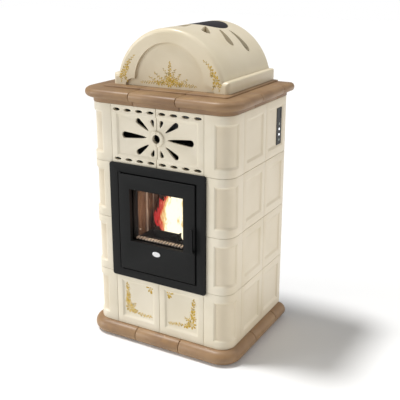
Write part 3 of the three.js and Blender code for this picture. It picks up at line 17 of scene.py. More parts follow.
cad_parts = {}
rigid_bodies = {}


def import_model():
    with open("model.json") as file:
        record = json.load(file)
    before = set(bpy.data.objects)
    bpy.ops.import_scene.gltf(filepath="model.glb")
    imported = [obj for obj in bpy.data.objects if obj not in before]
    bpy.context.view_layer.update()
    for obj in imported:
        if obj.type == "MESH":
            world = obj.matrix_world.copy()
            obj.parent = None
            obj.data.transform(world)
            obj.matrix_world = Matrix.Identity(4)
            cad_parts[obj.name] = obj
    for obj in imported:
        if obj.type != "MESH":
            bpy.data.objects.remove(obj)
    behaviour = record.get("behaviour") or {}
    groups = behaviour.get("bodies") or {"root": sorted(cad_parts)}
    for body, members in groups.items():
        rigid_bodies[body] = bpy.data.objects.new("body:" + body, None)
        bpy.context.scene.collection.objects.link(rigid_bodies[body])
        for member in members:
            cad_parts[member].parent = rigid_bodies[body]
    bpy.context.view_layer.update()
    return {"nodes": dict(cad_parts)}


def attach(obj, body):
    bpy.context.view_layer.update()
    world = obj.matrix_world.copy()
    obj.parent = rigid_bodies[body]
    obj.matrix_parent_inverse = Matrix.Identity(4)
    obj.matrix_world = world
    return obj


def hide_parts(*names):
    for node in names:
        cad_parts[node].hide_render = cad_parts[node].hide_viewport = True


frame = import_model()
mm = 0.001

# %% [markdown]
# The photographer stood to the right of the stove and looked slightly down
# on it. The camera's place was worked out from the straight edges of the
# cladding. A small shift moves the picture up, as the photo has it.

# %% Camera
camera_place = (1.332, -2.2793, 1.4404)
camera_turn = math.radians(29.42)
camera_tilt = math.radians(90 - 17.07)

lens = bpy.data.cameras.new("photo_camera")
lens.sensor_width = 36
lens.lens = 63.68
lens.shift_y = -0.06
camera = bpy.data.objects.new("photo_camera", lens)
camera.location = camera_place
camera.rotation_euler = (camera_tilt, 0, camera_turn)
bpy.context.scene.collection.objects.link(camera)
bpy.context.scene.camera = camera
print("camera at", camera_place)

# %% [markdown]
# Small helpers keep the steps short. An operator acts on everything that is
# selected, so each helper first clears the selection and then takes one
# piece. Sizes go in as millimetres, and a piece's place is always put into
# its mesh, so that its object stays at the origin.

# %% Selection helpers
def take(*pieces):
    """Selects only these pieces and makes the first one active."""
    for other in bpy.context.view_layer.objects:
        other.select_set(False)
    for piece in pieces:
        piece.select_set(True)
    bpy.context.view_layer.objects.active = pieces[0]
    return pieces[0]


def settle(piece, name):
    """Names a new piece and moves its place, turn and size into its mesh."""
    piece.name = name
    piece.data.name = name
    take(piece)
    bpy.ops.object.transform_apply(location=True, rotation=True, scale=True)
    return piece


def edit(piece):
    take(piece)
    bpy.ops.object.mode_set(mode="EDIT")


def done():
    bpy.ops.object.mode_set(mode="OBJECT")


def middle_of(item):
    if isinstance(item, bmesh.types.BMVert):
        return item.co.copy()
    if isinstance(item, bmesh.types.BMEdge):
        return (item.verts[0].co + item.verts[1].co) / 2
    return item.calc_center_median()


def pick(kind, test):
    """In edit mode, selects the items whose middle, in mm, passes the test."""
    bpy.ops.mesh.select_mode(type=kind)
    bpy.ops.mesh.select_all(action="DESELECT")
    shape = bmesh.from_edit_mesh(bpy.context.object.data)
    items = {"VERT": shape.verts, "EDGE": shape.edges, "FACE": shape.faces}[kind]
    chosen = [item for item in items if test(middle_of(item) / mm, item)]
    for item in chosen:
        item.select_set(True)
    bmesh.update_edit_mesh(bpy.context.object.data)
    return len(chosen)


def pick_all():
    bpy.ops.mesh.select_mode(type="FACE")
    bpy.ops.mesh.select_all(action="SELECT")


def outward():
    """In edit mode, turns every face of a closed piece outwards."""
    pick_all()
    bpy.ops.mesh.remove_doubles(threshold=0.005 * mm)
    bpy.ops.mesh.normals_make_consistent(inside=False)


def slice_at(axis, *places, **options):
    """In edit mode, cuts the whole piece across an axis at each place."""
    normal = {"x": (1, 0, 0), "y": (0, 1, 0), "z": (0, 0, 1)}[axis]
    for place in places:
        pick_all()
        point = [place * mm * part for part in normal]
        bpy.ops.mesh.bisect(plane_co=point, plane_no=normal, **options)


def push(x=0, y=0, z=0):
    """In edit mode, extrudes what is selected by so many millimetres."""
    step = {"value": (x * mm, y * mm, z * mm)}
    bpy.ops.mesh.extrude_region_move(TRANSFORM_OT_translate=step)


print("helpers for selecting and editing are ready")


# %% Primitives and modifiers
def slab(name, low, high):
    """A block between two corners."""
    size = [(b - a) * mm for a, b in zip(low, high)]
    centre = [(a + b) / 2 * mm for a, b in zip(low, high)]
    bpy.ops.mesh.primitive_cube_add(size=1, location=centre)
    bpy.context.object.scale = size
    return settle(bpy.context.object, name)


AXIS_TURNS = {"x": (0, math.pi / 2, 0), "y": (math.pi / 2, 0, 0), "z": (0, 0, 0)}


def rod(name, axis, centre, radius, length, sides=48, far_radius=None):
    """A cylinder along an axis, or a cone where its far radius differs."""
    far = radius if far_radius is None else far_radius
    bpy.ops.mesh.primitive_cone_add(
        vertices=sides,
        radius1=radius * mm,
        radius2=far * mm,
        depth=length * mm,
        location=[part * mm for part in centre],
        rotation=AXIS_TURNS[axis],
    )
    return settle(bpy.context.object, name)


def shown(name, mesh):
    """Puts a new piece with this mesh into the scene."""
    piece = bpy.data.objects.new(name, mesh)
    bpy.context.scene.collection.objects.link(piece)
    return piece


def prism(name, corners, **way):
    """A solid from a face with these corners, extruded so many mm."""
    mesh = bpy.data.meshes.new(name)
    points = [[part * mm for part in corner] for corner in corners]
    mesh.from_pydata(points, [], [tuple(range(len(points)))])
    piece = shown(name, mesh)
    edit(piece)
    pick_all()
    push(**way)
    outward()
    done()
    return piece


def loft(name, rings):
    """A solid whose skin runs from ring to ring of corners in mm."""
    shape = bmesh.new()
    loops = [
        [shape.verts.new([part * mm for part in corner]) for corner in ring]
        for ring in rings
    ]
    for here, there in zip(loops, loops[1:]):
        for i in range(len(here)):
            shape.faces.new((here[i - 1], here[i], there[i], there[i - 1]))
    shape.faces.new(loops[0])
    shape.faces.new(loops[-1])
    mesh = bpy.data.meshes.new(name)
    shape.to_mesh(mesh)
    shape.free()
    piece = shown(name, mesh)
    edit(piece)
    outward()
    done()
    return piece


def arc(centre_x, centre_z, radius_x, radius_z, start, end, steps):
    """Points along a part of an ellipse, both ends included, in degrees."""
    turns = [math.radians(start + (end - start) * i / steps) for i in range(steps + 1)]
    return [
        (centre_x + radius_x * math.cos(turn), centre_z + radius_z * math.sin(turn))
        for turn in turns
    ]


def modify(piece, kind, **settings):
    """Adds a modifier and applies it at once."""
    take(piece)
    modifier = piece.modifiers.new(kind.lower(), kind)
    for key, value in settings.items():
        setattr(modifier, key, value)
    bpy.ops.object.modifier_apply(modifier=modifier.name)
    return piece


def combine(piece, tool, operation="DIFFERENCE"):
    """Cuts a tool out of a piece, or adds it, and throws the tool away."""
    modify(
        piece,
        "BOOLEAN",
        operation=operation,
        object=tool,
        solver="EXACT",
    )
    bpy.data.objects.remove(tool)
    return piece


def soften(piece, width, angle=50, segments=3):
    """Rounds every edge that is sharper than the angle."""
    return modify(
        piece,
        "BEVEL",
        width=width * mm,
        segments=segments,
        limit_method="ANGLE",
        angle_limit=math.radians(angle),
        use_clamp_overlap=True,
        harden_normals=False,
    )


def round_edges(piece, test, width, segments):
    """Rounds only the edges whose middle passes the test."""
    edit(piece)
    pick("EDGE", test)
    bpy.ops.mesh.bevel(offset=width * mm, segments=segments, affect="EDGES")
    done()


def smooth(piece, angle=35):
    take(piece)
    bpy.ops.object.shade_smooth_by_angle(angle=math.radians(angle))
    return piece


def copy_of(piece, name, move=(0, 0, 0), turn=None, mirror=False):
    """A copy with its own mesh: mirrored across the stove, turned, moved."""
    take(piece)
    bpy.ops.object.duplicate()
    twin = bpy.context.object
    twin.name = name
    twin.data.name = name
    place = Matrix.Translation([part * mm for part in move])
    if turn is not None:
        place = place @ turn
    if mirror:
        place = place @ Matrix.Diagonal((-1, 1, 1, 1))
    twin.data.transform(place)
    if mirror:
        twin.data.flip_normals()
    return twin


def about(point, axis, degrees):
    """The matrix that turns about an axis through a point in mm."""
    centre = Vector(part * mm for part in point)
    turn = Matrix.Rotation(math.radians(degrees), 4, axis)
    return Matrix.Translation(centre) @ turn @ Matrix.Translation(-centre)


def joined(name, pieces):
    take(*pieces)
    if len(pieces) > 1:
        bpy.ops.object.join()
    piece = bpy.context.object
    piece.name = name
    piece.data.name = name
    return piece


def fit(piece, finish, body, slot, *nodes):
    """Paints a piece, hangs it on its body and hides the CAD nodes it replaces."""
    piece.data.materials.clear()
    piece.data.materials.append(finish)
    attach(piece, body)
    if nodes:
        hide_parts(*nodes)
    return piece


print("helpers for shapes are ready")

# %% [markdown]
# Finishes are written as sums. A `Wire` is a socket that Python can add,
# subtract, multiply or divide, and each sign adds one Math node. Colours go
# through Mix nodes, because a Math node would turn them grey.

# %% The shader helper
class Wire:
    """An output socket of a material, used like a number."""

    def __init__(self, finish, socket):
        self.finish = finish
        self.socket = socket

    def math(self, operation, *values):
        inputs = dict(enumerate(values))
        return self.finish.node("ShaderNodeMath", {"operation": operation}, inputs)

    def __add__(self, other):
        return self.math("ADD", self, other)

    __radd__ = __add__

    def __mul__(self, other):
        return self.math("MULTIPLY", self, other)

    __rmul__ = __mul__

    def __sub__(self, other):
        return self.math("SUBTRACT", self, other)

    def __rsub__(self, other):
        return self.math("SUBTRACT", other, self)

    def __truediv__(self, other):
        return self.math("DIVIDE", self, other)

    def __rtruediv__(self, other):
        return self.math("DIVIDE", other, self)

    def __abs__(self):
        return self.math("ABSOLUTE", self)

    def ramp(self, low, high):
        """0 below low, 1 above high and a soft slope between them."""
        settings = {"interpolation_type": "SMOOTHSTEP", "clamp": True}
        inputs = {"Value": self, "From Min": low, "From Max": high}
        return self.finish.node("ShaderNodeMapRange", settings, inputs)


class Finish:
    """A material under construction."""

    def __init__(self, name):
        self.material = bpy.data.materials.new(name)
        self.material.use_nodes = True
        self.tree = self.material.node_tree
        self.tree.nodes.clear()
        self.place = self.node("ShaderNodeTexCoord", output="Object")

    def node(self, kind, settings=None, inputs=None, output=0):
        """Adds a node, sets it, wires it up and returns one output."""
        made = self.tree.nodes.new(kind)
        for key, value in (settings or {}).items():
            setattr(made, key, value)
        for key, value in (inputs or {}).items():
            self.plug(made.inputs[key], value)
        return Wire(self, made.outputs[output]) if made.outputs else made

    def plug(self, socket, value):
        if isinstance(value, Wire):
            self.tree.links.new(value.socket, socket)
        elif isinstance(value, (tuple, list)) and socket.type == "RGBA":
            socket.default_value = (*value[:3], 1)
        else:
            socket.default_value = value

    def axis(self, letter):
        inputs = {"Vector": self.place}
        return self.node("ShaderNodeSeparateXYZ", None, inputs, letter.upper())

    def stretched(self, scale):
        inputs = {"Vector": self.place, "Scale": scale}
        return self.node("ShaderNodeMapping", None, inputs)

    def noise(self, scale, detail=4, rough=0.5, along=None):
        """Cloudy noise from 0 to 1 on the piece's own coordinates."""
        inputs = {
            "Vector": along or self.place,
            "Scale": scale,
            "Detail": detail,
            "Roughness": rough,
        }
        return self.node("ShaderNodeTexNoise", None, inputs, "Fac")

    def cells(self, scale):
        """The distance to the nearest of many scattered points."""
        inputs = {"Vector": self.place, "Scale": scale}
        settings = {"feature": "F1"}
        return self.node("ShaderNodeTexVoronoi", settings, inputs, "Distance")

    def mix(self, share, first, second):
        """A colour between two others."""
        settings = {"data_type": "RGBA"}
        inputs = {0: share, 6: first, 7: second}
        return self.node("ShaderNodeMix", settings, inputs, 2)

    def bump(self, height, strength, distance):
        inputs = {"Height": height, "Strength": strength, "Distance": distance}
        return self.node("ShaderNodeBump", None, inputs)

    def surface(self, **inputs):
        """Ends the material with a Principled shader and returns it."""
        named = {key.replace("_", " "): value for key, value in inputs.items()}
        shader = self.node("ShaderNodeBsdfPrincipled", None, named, "BSDF")
        self.node("ShaderNodeOutputMaterial", None, {"Surface": shader})
        return self.material


def paint(red, green, blue):
    """A colour picked from 0 to 255 on the screen, as light."""
    shares = [part / 255 for part in (red, green, blue)]
    return tuple(
        part / 12.92 if part <= 0.04045 else ((part + 0.055) / 1.055) ** 2.4
        for part in shares
    )


print("cream is", [round(part, 3) for part in paint(229, 221, 202)])

# %% [markdown]
# The photo was taken in a white studio, with a large soft light at the front
# left. Its floor is so bright that it melts into the background, and only a
# soft grey shadow on the right tells where it is. Weak fills from the side,
# from above and from low down lift the right side, and leave the floor alone.

# %% Floor and backdrop
bpy.context.scene.view_settings.view_transform = "Standard"

studio = bpy.data.worlds.new("studio")
bpy.context.scene.world = studio
studio.use_nodes = True
wires = studio.node_tree
wires.nodes.clear()


def white_sky(strength):
    sky = wires.nodes.new("ShaderNodeBackground")
    sky.inputs["Color"].default_value = (1, 1, 1, 1)
    sky.inputs["Strength"].default_value = strength
    return sky


sky_seen = white_sky(1.0)
sky_cast = white_sky(0.31)
rays = wires.nodes.new("ShaderNodeLightPath")
chooser = wires.nodes.new("ShaderNodeMixShader")
world_end = wires.nodes.new("ShaderNodeOutputWorld")
wires.links.new(rays.outputs["Is Camera Ray"], chooser.inputs[0])
wires.links.new(sky_cast.outputs[0], chooser.inputs[1])
wires.links.new(sky_seen.outputs[0], chooser.inputs[2])
wires.links.new(chooser.outputs[0], world_end.inputs["Surface"])

floor_finish = Finish("pale_floor")
floor_paint = floor_finish.surface(
    Base_Color=(0.9, 0.898, 0.892, 1),
    Roughness=0.8,
    Specular_IOR_Level=0.1,
    Emission_Color=(1, 1, 1, 1),
    Emission_Strength=0.07,
)
bpy.ops.mesh.primitive_plane_add(size=30, location=(0, 0, 0))
floor = settle(bpy.context.object, "floor")
floor.data.materials.append(floor_paint)
print("floor and backdrop are white")


# %% Lights
def sunlight(name, towards_light, strength, spread):
    """A soft light from far away, so that it doesn't fade over the floor."""
    data = bpy.data.lights.new(name, "SUN")
    data.energy = strength
    data.angle = math.radians(spread)
    lamp = bpy.data.objects.new(name, data)
    aim = -Vector(towards_light)
    lamp.rotation_euler = aim.to_track_quat("-Z", "Y").to_euler()
    bpy.context.scene.collection.objects.link(lamp)
    return lamp


def hidden_lamp(name, kind, energy, place):
    """A lamp that lights the stove and can't be seen itself."""
    data = bpy.data.lights.new(name, kind)
    data.energy = energy
    lamp = bpy.data.objects.new(name, data)
    lamp.location = place
    lamp.visible_camera = False
    lamp.visible_glossy = False
    bpy.context.scene.collection.objects.link(lamp)
    return lamp


key = sunlight("key_light", (-0.355, -0.11, 0.92), 2.5, 10)
front_fill = sunlight("front_fill", (-0.78, -0.6, 0.2), 1.3, 26)
side_fill = sunlight("side_fill", (0.75, 0.6, 0.3), 0.27, 40)
top_fill = sunlight("top_fill", (0.5, 0.2, 0.8), 0.7, 60)

off_floor = bpy.data.collections.new("off_floor")
off_floor.objects.link(floor)
off_floor.collection_objects[0].light_linking.link_state = "EXCLUDE"

low_fill = hidden_lamp("low_fill", "AREA", 1.3, (0.95, 0.0, 0.12))
low_fill.data.size = 0.5
low_fill.rotation_euler = Vector((-1, 0, 0)).to_track_quat("-Z", "Y").to_euler()
for fill in (side_fill, top_fill, low_fill):
    fill.light_linking.receiver_collection = off_floor
print("lights:", key.name, front_fill.name, "and three fills off the floor")

# %% [markdown]
# Stove tiles are pressed from clay, dipped in glaze and fired. The glaze is
# glossy and a little uneven. Painted shade makes it darker on the side tiles
# and in the bent fields of the corner tiles, which face away from the main
# light. Its colour is kept close to the fired cream and only clouded
# slightly, and a fine bump breaks up the reflections.
# The places below are in metres, as Object coordinates are.

# %% Glazes
# These places say where painted shade darkens the glaze.
bend_centre = (0.241, 0.178)
bend_radius = 0.056
field_reach = (bend_radius - 0.0045, bend_radius - 0.001)
bend_starts = (0.19, 0.25)
side_starts = (0.262, 0.293)


def painted_shade_share(fired):
    """The share of painted shade: 1 on the side tiles and in the bent fields, 0 on the
    front.
    """
    past_x = abs(fired.axis("x")) - bend_centre[0]
    past_x = past_x.math("MAXIMUM", past_x, 0)
    past_y = fired.axis("y") * -1 - bend_centre[1]
    past_y = past_y.math("MAXIMUM", past_y, 0)
    square = past_x * past_x + past_y * past_y
    reach = square.math("SQRT", square)
    sunk = 1 - reach.ramp(*field_reach)
    sunk = sunk * abs(fired.axis("x")).ramp(*bend_starts)
    side = abs(fired.axis("x")).ramp(*side_starts)
    return 1 - (1 - sunk) * (1 - side)


def glaze(name, light, shade, speck, shade_tint=None):
    """A fired glaze that drifts between two colours, with tiny specks.

    With a shade tint, its colours times that tint are painted in as shade on the side tiles
    and in the bent fields.
    """
    fired = Finish(name)
    cloud = fired.noise(5.5, 3).ramp(0.35, 0.7)
    grain = fired.noise(90, 3)
    color = fired.mix(cloud, light, shade)
    # Painted shade: darker tones of the same glaze on the side tiles and bent fields.
    if shade_tint:
        shaded_tones = [tuple(a * b for a, b in zip(tone, shade_tint)) for tone in (light, shade)]
        color = fired.mix(painted_shade_share(fired), color, fired.mix(cloud, *shaded_tones))
    dots = 1 - fired.cells(210).ramp(0.08, 0.16)
    rare = fired.noise(26, 2).ramp(0.62, 0.7)
    color = fired.mix(dots * rare * 0.35, color, speck)
    ripple = fired.noise(14, 2) + grain * 0.12
    return fired.surface(
        Base_Color=color,
        Roughness=0.38 + grain * 0.08,
        Coat_Weight=0.25,
        Coat_Roughness=0.2,
        Specular_IOR_Level=0.4,
        Normal=fired.bump(ripple, 0.1, 0.0012),
    )


cream_glaze = glaze(
    "cream_glaze",
    paint(228, 219, 199),
    paint(221, 211, 188),
    paint(170, 140, 100),
    # painted shade on the side tiles and in the bent fields
    shade_tint=(0.92, 0.88, 0.83),
)
dome_glaze = glaze(
    "dome_glaze", paint(223, 211, 185), paint(217, 204, 175), paint(165, 135, 95)
)


def brown_mix():
    fired = Finish("brown_glaze")
    cloud = fired.noise(7, 4, 0.6).ramp(0.3, 0.72)
    fine = fired.noise(60, 3)
    color = fired.mix(cloud, paint(152, 120, 84), paint(130, 99, 68))
    honey = fired.noise(11, 2).ramp(0.63, 0.78)
    color = fired.mix(honey * 0.35, color, paint(178, 136, 80))
    dark = fired.noise(23, 5, 0.65).ramp(0.55, 0.8)
    color = fired.mix(dark * 0.22, color, paint(100, 74, 52))
    return fired.surface(
        Base_Color=color,
        Roughness=0.44 + fine * 0.1,
        Coat_Weight=0.12,
        Coat_Roughness=0.3,
        Normal=fired.bump(fired.noise(18, 2) + fine * 0.15, 0.14, 0.0012),
    )


brown_glaze = brown_mix()
print("glazes:", cream_glaze.name, dome_glaze.name, brown_glaze.name)


# %% [markdown]
# The metal parts are painted, plated or raw. Powder paint has the fine
# orange peel of a stove door, zinc has the crystal pattern of galvanised
# sheet, and the cast hearth is sooty and rough.

# %% Metals
def powder(name, color, lift, roughness):
    coat = Finish(name)
    peel = coat.noise(420, 2)
    haze = coat.noise(4, 3).ramp(0.3, 0.8)
    return coat.surface(
        Base_Color=coat.mix(haze, color, lift),
        Roughness=roughness + peel * 0.12,
        Specular_IOR_Level=0.2,
        Normal=coat.bump(peel, 0.18, 0.0003),
    )


door_black = powder("stove_black", paint(14, 15, 15), paint(19, 20, 20), 0.5)
lid_black = powder("lid_black", paint(36, 32, 36), paint(44, 40, 44), 0.45)
casing_black = powder("casing_black", paint(30, 30, 31), paint(36, 36, 37), 0.5)


def zinc(name):
    sheet = Finish(name)
    crystals = sheet.cells(55)
    patch = sheet.noise(30, 2).ramp(0.3, 0.7)
    color = sheet.mix(patch, paint(158, 161, 164), paint(184, 187, 190))
    return sheet.surface(
        Base_Color=sheet.mix(crystals * 0.25, color, paint(126, 129, 133)),
        Metallic=0.9,
        Roughness=0.34 + patch * 0.14,
        Normal=sheet.bump(crystals, 0.08, 0.0004),
    )


zinc_sheet = zinc("zinc_sheet")


def iron(name):
    cast = Finish(name)
    sand = cast.noise(240, 4, 0.65)
    soot = cast.noise(16, 3).ramp(0.3, 0.7)
    return cast.surface(
        Base_Color=cast.mix(soot, paint(46, 42, 40), paint(26, 24, 23)),
        Metallic=0.35,
        Roughness=0.62 + sand * 0.25,
        Normal=cast.bump(sand, 0.5, 0.0008),
    )


sooty_iron = iron("sooty_iron")


def brushed(name):
    plate = Finish(name)
    lines = plate.noise(1, 3, 0.6, plate.stretched((60, 60, 900)))
    return plate.surface(
        Base_Color=plate.mix(lines, paint(206, 207, 208), paint(236, 236, 236)),
        Metallic=1.0,
        Roughness=0.2 + lines * 0.14,
        Normal=plate.bump(lines, 0.08, 0.0002),
    )


badge_metal = brushed("brushed_metal")


def heated(name):
    """Steel that stands in the fire: bright where it is rubbed, else straw."""
    steel = Finish(name)
    tint = steel.noise(18, 3).ramp(0.35, 0.7)
    fine = steel.noise(260, 3)
    return steel.surface(
        Base_Color=steel.mix(tint, paint(236, 222, 206), paint(190, 170, 152)),
        Metallic=0.5,
        Roughness=0.42 + fine * 0.2,
        Normal=steel.bump(fine, 0.15, 0.0003),
    )


bright_steel = heated("heated_steel")
print("metals:", door_black.name, zinc_sheet.name, sooty_iron.name)


# %% Stone, rope, glass and plastics
def board():
    """Brown vermiculite board: flaky, with patches of soot."""
    stone = Finish("liner_board")
    flakes = stone.cells(330)
    cloud = stone.noise(22, 5, 0.65).ramp(0.25, 0.8)
    soot = stone.noise(9, 3, 0.6).ramp(0.38, 0.66)
    color = stone.mix(cloud, paint(114, 86, 66), paint(84, 62, 48))
    return stone.surface(
        Base_Color=stone.mix(soot * 0.75, color, paint(52, 42, 36)),
        Roughness=0.74 + cloud * 0.15,
        Normal=stone.bump(flakes + stone.noise(300, 3), 0.35, 0.0008),
    )


liner_board = board()


def rope():
    weave = Finish("fibre_rope")
    twist = weave.node(
        "ShaderNodeTexWave",
        {"wave_type": "BANDS", "bands_direction": "DIAGONAL"},
        {"Vector": weave.place, "Scale": 160, "Distortion": 2.5},
        "Fac",
    )
    return weave.surface(
        Base_Color=weave.mix(twist, paint(92, 90, 86), paint(136, 133, 126)),
        Roughness=0.9,
        Normal=weave.bump(twist, 0.6, 0.001),
    )


fibre_rope = rope()

glass = Finish("door_glass_clear")
smear = glass.noise(7, 3).ramp(0.4, 0.8)
door_glass = glass.surface(
    Base_Color=(0.02, 0.02, 0.02, 1),
    Roughness=0.03 + smear * 0.05,
    Alpha=0.1 + smear * 0.03,
    IOR=1.5,
)


def moulded(name, color, roughness):
    plastic = Finish(name)
    spark = plastic.noise(700, 2)
    return plastic.surface(
        Base_Color=plastic.mix(spark * 0.3, color, tuple(c * 1.6 for c in color)),
        Roughness=roughness + spark * 0.1,
        Normal=plastic.bump(spark, 0.12, 0.0002),
    )


dark_plastic = moulded("dark_plastic", paint(15, 15, 16), 0.42)
pad_rubber = moulded("pad_rubber", paint(22, 22, 22), 0.72)
print("other finishes:", liner_board.name, fibre_rope.name, door_glass.name)


# %% Lamps, gold, flame and embers
def lit(name, color, strength):
    """A lens that glows, a little unevenly."""
    lens_cap = Finish(name)
    dimmer = tuple(part * 0.85 for part in color)
    shine = lens_cap.mix(lens_cap.noise(300, 2), color, dimmer)
    return lens_cap.surface(
        Base_Color=shine,
        Roughness=0.35,
        Emission_Color=shine,
        Emission_Strength=strength,
    )


bright_button = lit("bright_button", (0.95, 0.98, 1.0), 0.9)
dim_button = lit("dim_button", paint(150, 158, 150), 0.12)


def gold():
    leaf = Finish("gold_paint")
    tone = leaf.noise(95, 2).ramp(0.36, 0.6)
    olive = leaf.noise(70, 2, along=leaf.stretched((1, 1, 1.3))).ramp(0.56, 0.64)
    thin = leaf.noise(420, 3).ramp(0.55, 0.8)
    color = leaf.mix(tone, paint(205, 170, 54), paint(180, 146, 40))
    color = leaf.mix(olive * 0.75, color, paint(124, 110, 50))
    return leaf.surface(
        Base_Color=leaf.mix(thin * 0.25, color, paint(226, 192, 84)),
        Metallic=0.15,
        Roughness=0.38 + tone * 0.1,
        Normal=leaf.bump(leaf.noise(500, 2), 0.2, 0.0002),
    )


gold_paint = gold()


flame_middle = 28
flame_reach = 56
ragged = 2.1


def blaze(name, colors, spread, edge):
    """Burning gas: hottest along its upright middle, frayed at its edge."""
    cool, warm, hot = colors
    fire = Finish(name)
    lick = fire.noise(1, 4, 0.6, fire.stretched((85, 40, 24)))
    aside = abs(fire.axis("x") - flame_middle * mm) / (flame_reach * mm)
    heat = 1.15 - aside - (fire.axis("z") - 0.5) * 1.6 + (lick - 0.5) * ragged
    return fire.surface(
        Base_Color=(0, 0, 0, 1),
        Roughness=1.0,
        Specular_IOR_Level=0.0,
        Emission_Color=fire.mix(
            heat.ramp(spread[1], spread[2]),
            fire.mix(heat.ramp(spread[0], spread[1]), cool, warm),
            hot,
        ),
        Emission_Strength=3.0,
        Alpha=heat.ramp(*edge),
    )


flame_core = blaze(
    "flame_core",
    [(0.29, 0.06, 0.022), (0.37, 0.26, 0.11), (0.56, 0.52, 0.38)],
    (-0.05, 0.36, 0.74),
    (-0.4, -0.2),
)
flame_skin = blaze(
    "flame_skin",
    [(0.2, 0.014, 0.013), (0.32, 0.085, 0.045), (0.42, 0.27, 0.12)],
    (-0.12, 0.3, 0.62),
    (-1.1, -0.7),
)


def ember():
    coal = Finish("ember")
    heat = coal.noise(140, 4, 0.6).ramp(0.42, 0.66)
    return coal.surface(
        Base_Color=coal.mix(heat, paint(40, 26, 20), paint(120, 50, 20)),
        Roughness=0.9,
        Emission_Color=coal.mix(heat, (0.25, 0.02, 0.0), (1.0, 0.28, 0.04)),
        Emission_Strength=2.4,
        Normal=coal.bump(coal.noise(300, 3), 0.5, 0.001),
    )


ember_glow = ember()
print("glowing finishes:", flame_core.name, flame_skin.name, ember_glow.name)

# %% [markdown]
# ## The cladding
# The body is dressed in four courses of tiles, each 220 mm high, with narrow
# open joints. A flat tile is a slab whose face is cut round the sunk field.
# The field is inset by the width of its bevel and pushed in by its depth, and
# its upper and lower bevels are then drawn out flatter. All the tiles of one
# sort are copies of the first.

# %% Sizes of the cladding
half_width = 297
front = -234
rear = 234
base_height = 58
course = 220
courses = 4
joint = 1.4
tile_thickness = 14
corner_radius = 56
field_depth = 5.5
field_bevel = 7
end_bevel = 9
field_round = 0.8
tile_round = 1.0
end_margin = 30
side_margin = 24
corner_leg = 47.5
front_tile = 194
arc_x = half_width - corner_radius
arc_y = front + corner_radius
course_top = base_height + courses * course
print("the cladding is", course_top - base_height, "mm high")


# %% A flat tile with sunk fields
def sink_picked(low):
    """In edit mode, sinks the picked field of a course that starts at low."""
    bpy.ops.mesh.inset(thickness=field_bevel * mm, depth=-field_depth * mm)
    spread = field_bevel - end_bevel
    for edge_z, step in (
        (low + end_margin + field_bevel, -spread),
        (low + course - end_margin - field_bevel, spread),
    ):
        pick("VERT", lambda spot, vert: abs(spot.z - edge_z) < 0.05)
        bpy.ops.transform.translate(value=(0, 0, step * mm))


def sink_field(axis, face_at, start, end, low=base_height):
    """In edit mode, sinks the field from start to end along a flat tile."""
    along, lengthways, outwards = ("y", 1, 0) if axis == "x" else ("x", 0, 1)
    field_low = low + end_margin
    field_high = low + course - end_margin
    slice_at("z", field_low, field_high)
    slice_at(along, start, end)

    def in_field(spot, face):
        on_face = abs(spot[outwards] - face_at) < 0.1
        tall = field_low < spot.z < field_high
        return on_face and tall and start < spot[lengthways] < end

    pick("FACE", in_field)
    sink_picked(low)


def round_fields():
    """In edit mode, rounds the shallow edges of the sunk fields."""

    def shallow(spot, edge):
        if len(edge.link_faces) != 2:
            return False
        turn = math.degrees(edge.calc_face_angle(0))
        return 12 < turn < 60

    pick("EDGE", shallow)
    bpy.ops.mesh.bevel(offset=field_round * mm, segments=3, affect="EDGES")


def flat_tile(name, low, high, axis, face_at, start, end):
    tile = slab(name, low, high)
    edit(tile)
    sink_field(axis, face_at, start, end)
    round_fields()
    done()
    soften(tile, tile_round)
    return smooth(tile, 40)


def glaze_tile(tile, *nodes):
    return fit(tile, cream_glaze, "root", "tile_cream", *nodes)


course_low = base_height + joint / 2
course_high = base_height + course - joint / 2
lower_right = flat_tile(
    "lower_tile_glazed_right",
    (joint / 2, front, course_low),
    (front_tile - joint / 2, front + tile_thickness, course_high),
    "y",
    front,
    side_margin,
    front_tile - side_margin,
)
lower_left = copy_of(lower_right, "lower_tile_glazed_left", mirror=True)
glaze_tile(lower_right, "lower_tile_right")
glaze_tile(lower_left, "lower_tile_left")
print("lower tile:", len(lower_right.data.polygons), "faces")

# %% [markdown]
# On each side two tiles stand next to each other behind the corner tile. The
# right one at the top has a tall hole for the control strip.

# %% Side tiles
side_front = front + corner_radius + corner_leg + joint / 2
side_middle = (side_front + rear) / 2
side_spans = [
    (side_front, side_middle - joint / 2),
    (side_middle + joint / 2, rear),
]
side_pair = []
for number, (y0, y1) in enumerate(side_spans):
    margin_front = side_margin if number == 0 else side_margin - joint / 2
    margin_rear = side_margin - joint / 2 if number == 0 else side_margin
    side_pair.append(
        flat_tile(
            f"side_tile_{number}",
            (half_width - tile_thickness, y0, course_low),
            (half_width, y1, course_high),
            "x",
            half_width,
            y0 + margin_front,
            y1 - margin_rear,
        )
    )

strip_y = 180
strip_half = 21
strip_low = 755
strip_high = 898
clearance = 0.3
for level in range(courses):
    for side in ("right", "left"):
        twins = [
            copy_of(tile, "twin", (0, 0, level * course), mirror=side == "left")
            for tile in side_pair
        ]
        if side == "right" and level == courses - 1:
            strip_hole = slab(
                "strip_hole",
                (half_width - 30, strip_y - strip_half - clearance, strip_low - clearance),
                (half_width + 10, strip_y + strip_half + clearance, strip_high + clearance),
            )
            combine(twins[1], strip_hole)
            smooth(twins[1], 40)
        pair = joined(f"side_tiles_glazed_{side}_{level + 1}", twins)
        glaze_tile(pair, f"side_tiles_{side}_{level + 1}")
for tile in side_pair:
    bpy.data.objects.remove(tile)
print("side tiles:", 2 * courses, "pairs")

# %% [markdown]
# A corner tile goes round the corner in one piece, and its sunk field goes
# with it. It starts as a flat strip. The strip's edge is extruded, spun a
# quarter turn about the corner and extruded along the side. Only then is
# the field inset, and the sheet given its thickness.

# %% Corner tiles
def spin_round_corner(steps):
    """In edit mode, spins what is picked a quarter turn about the corner."""
    bpy.ops.mesh.spin(
        steps=steps,
        angle=-math.pi / 2,
        center=(arc_x * mm, arc_y * mm, 0),
        axis=(0, 0, 1),
    )


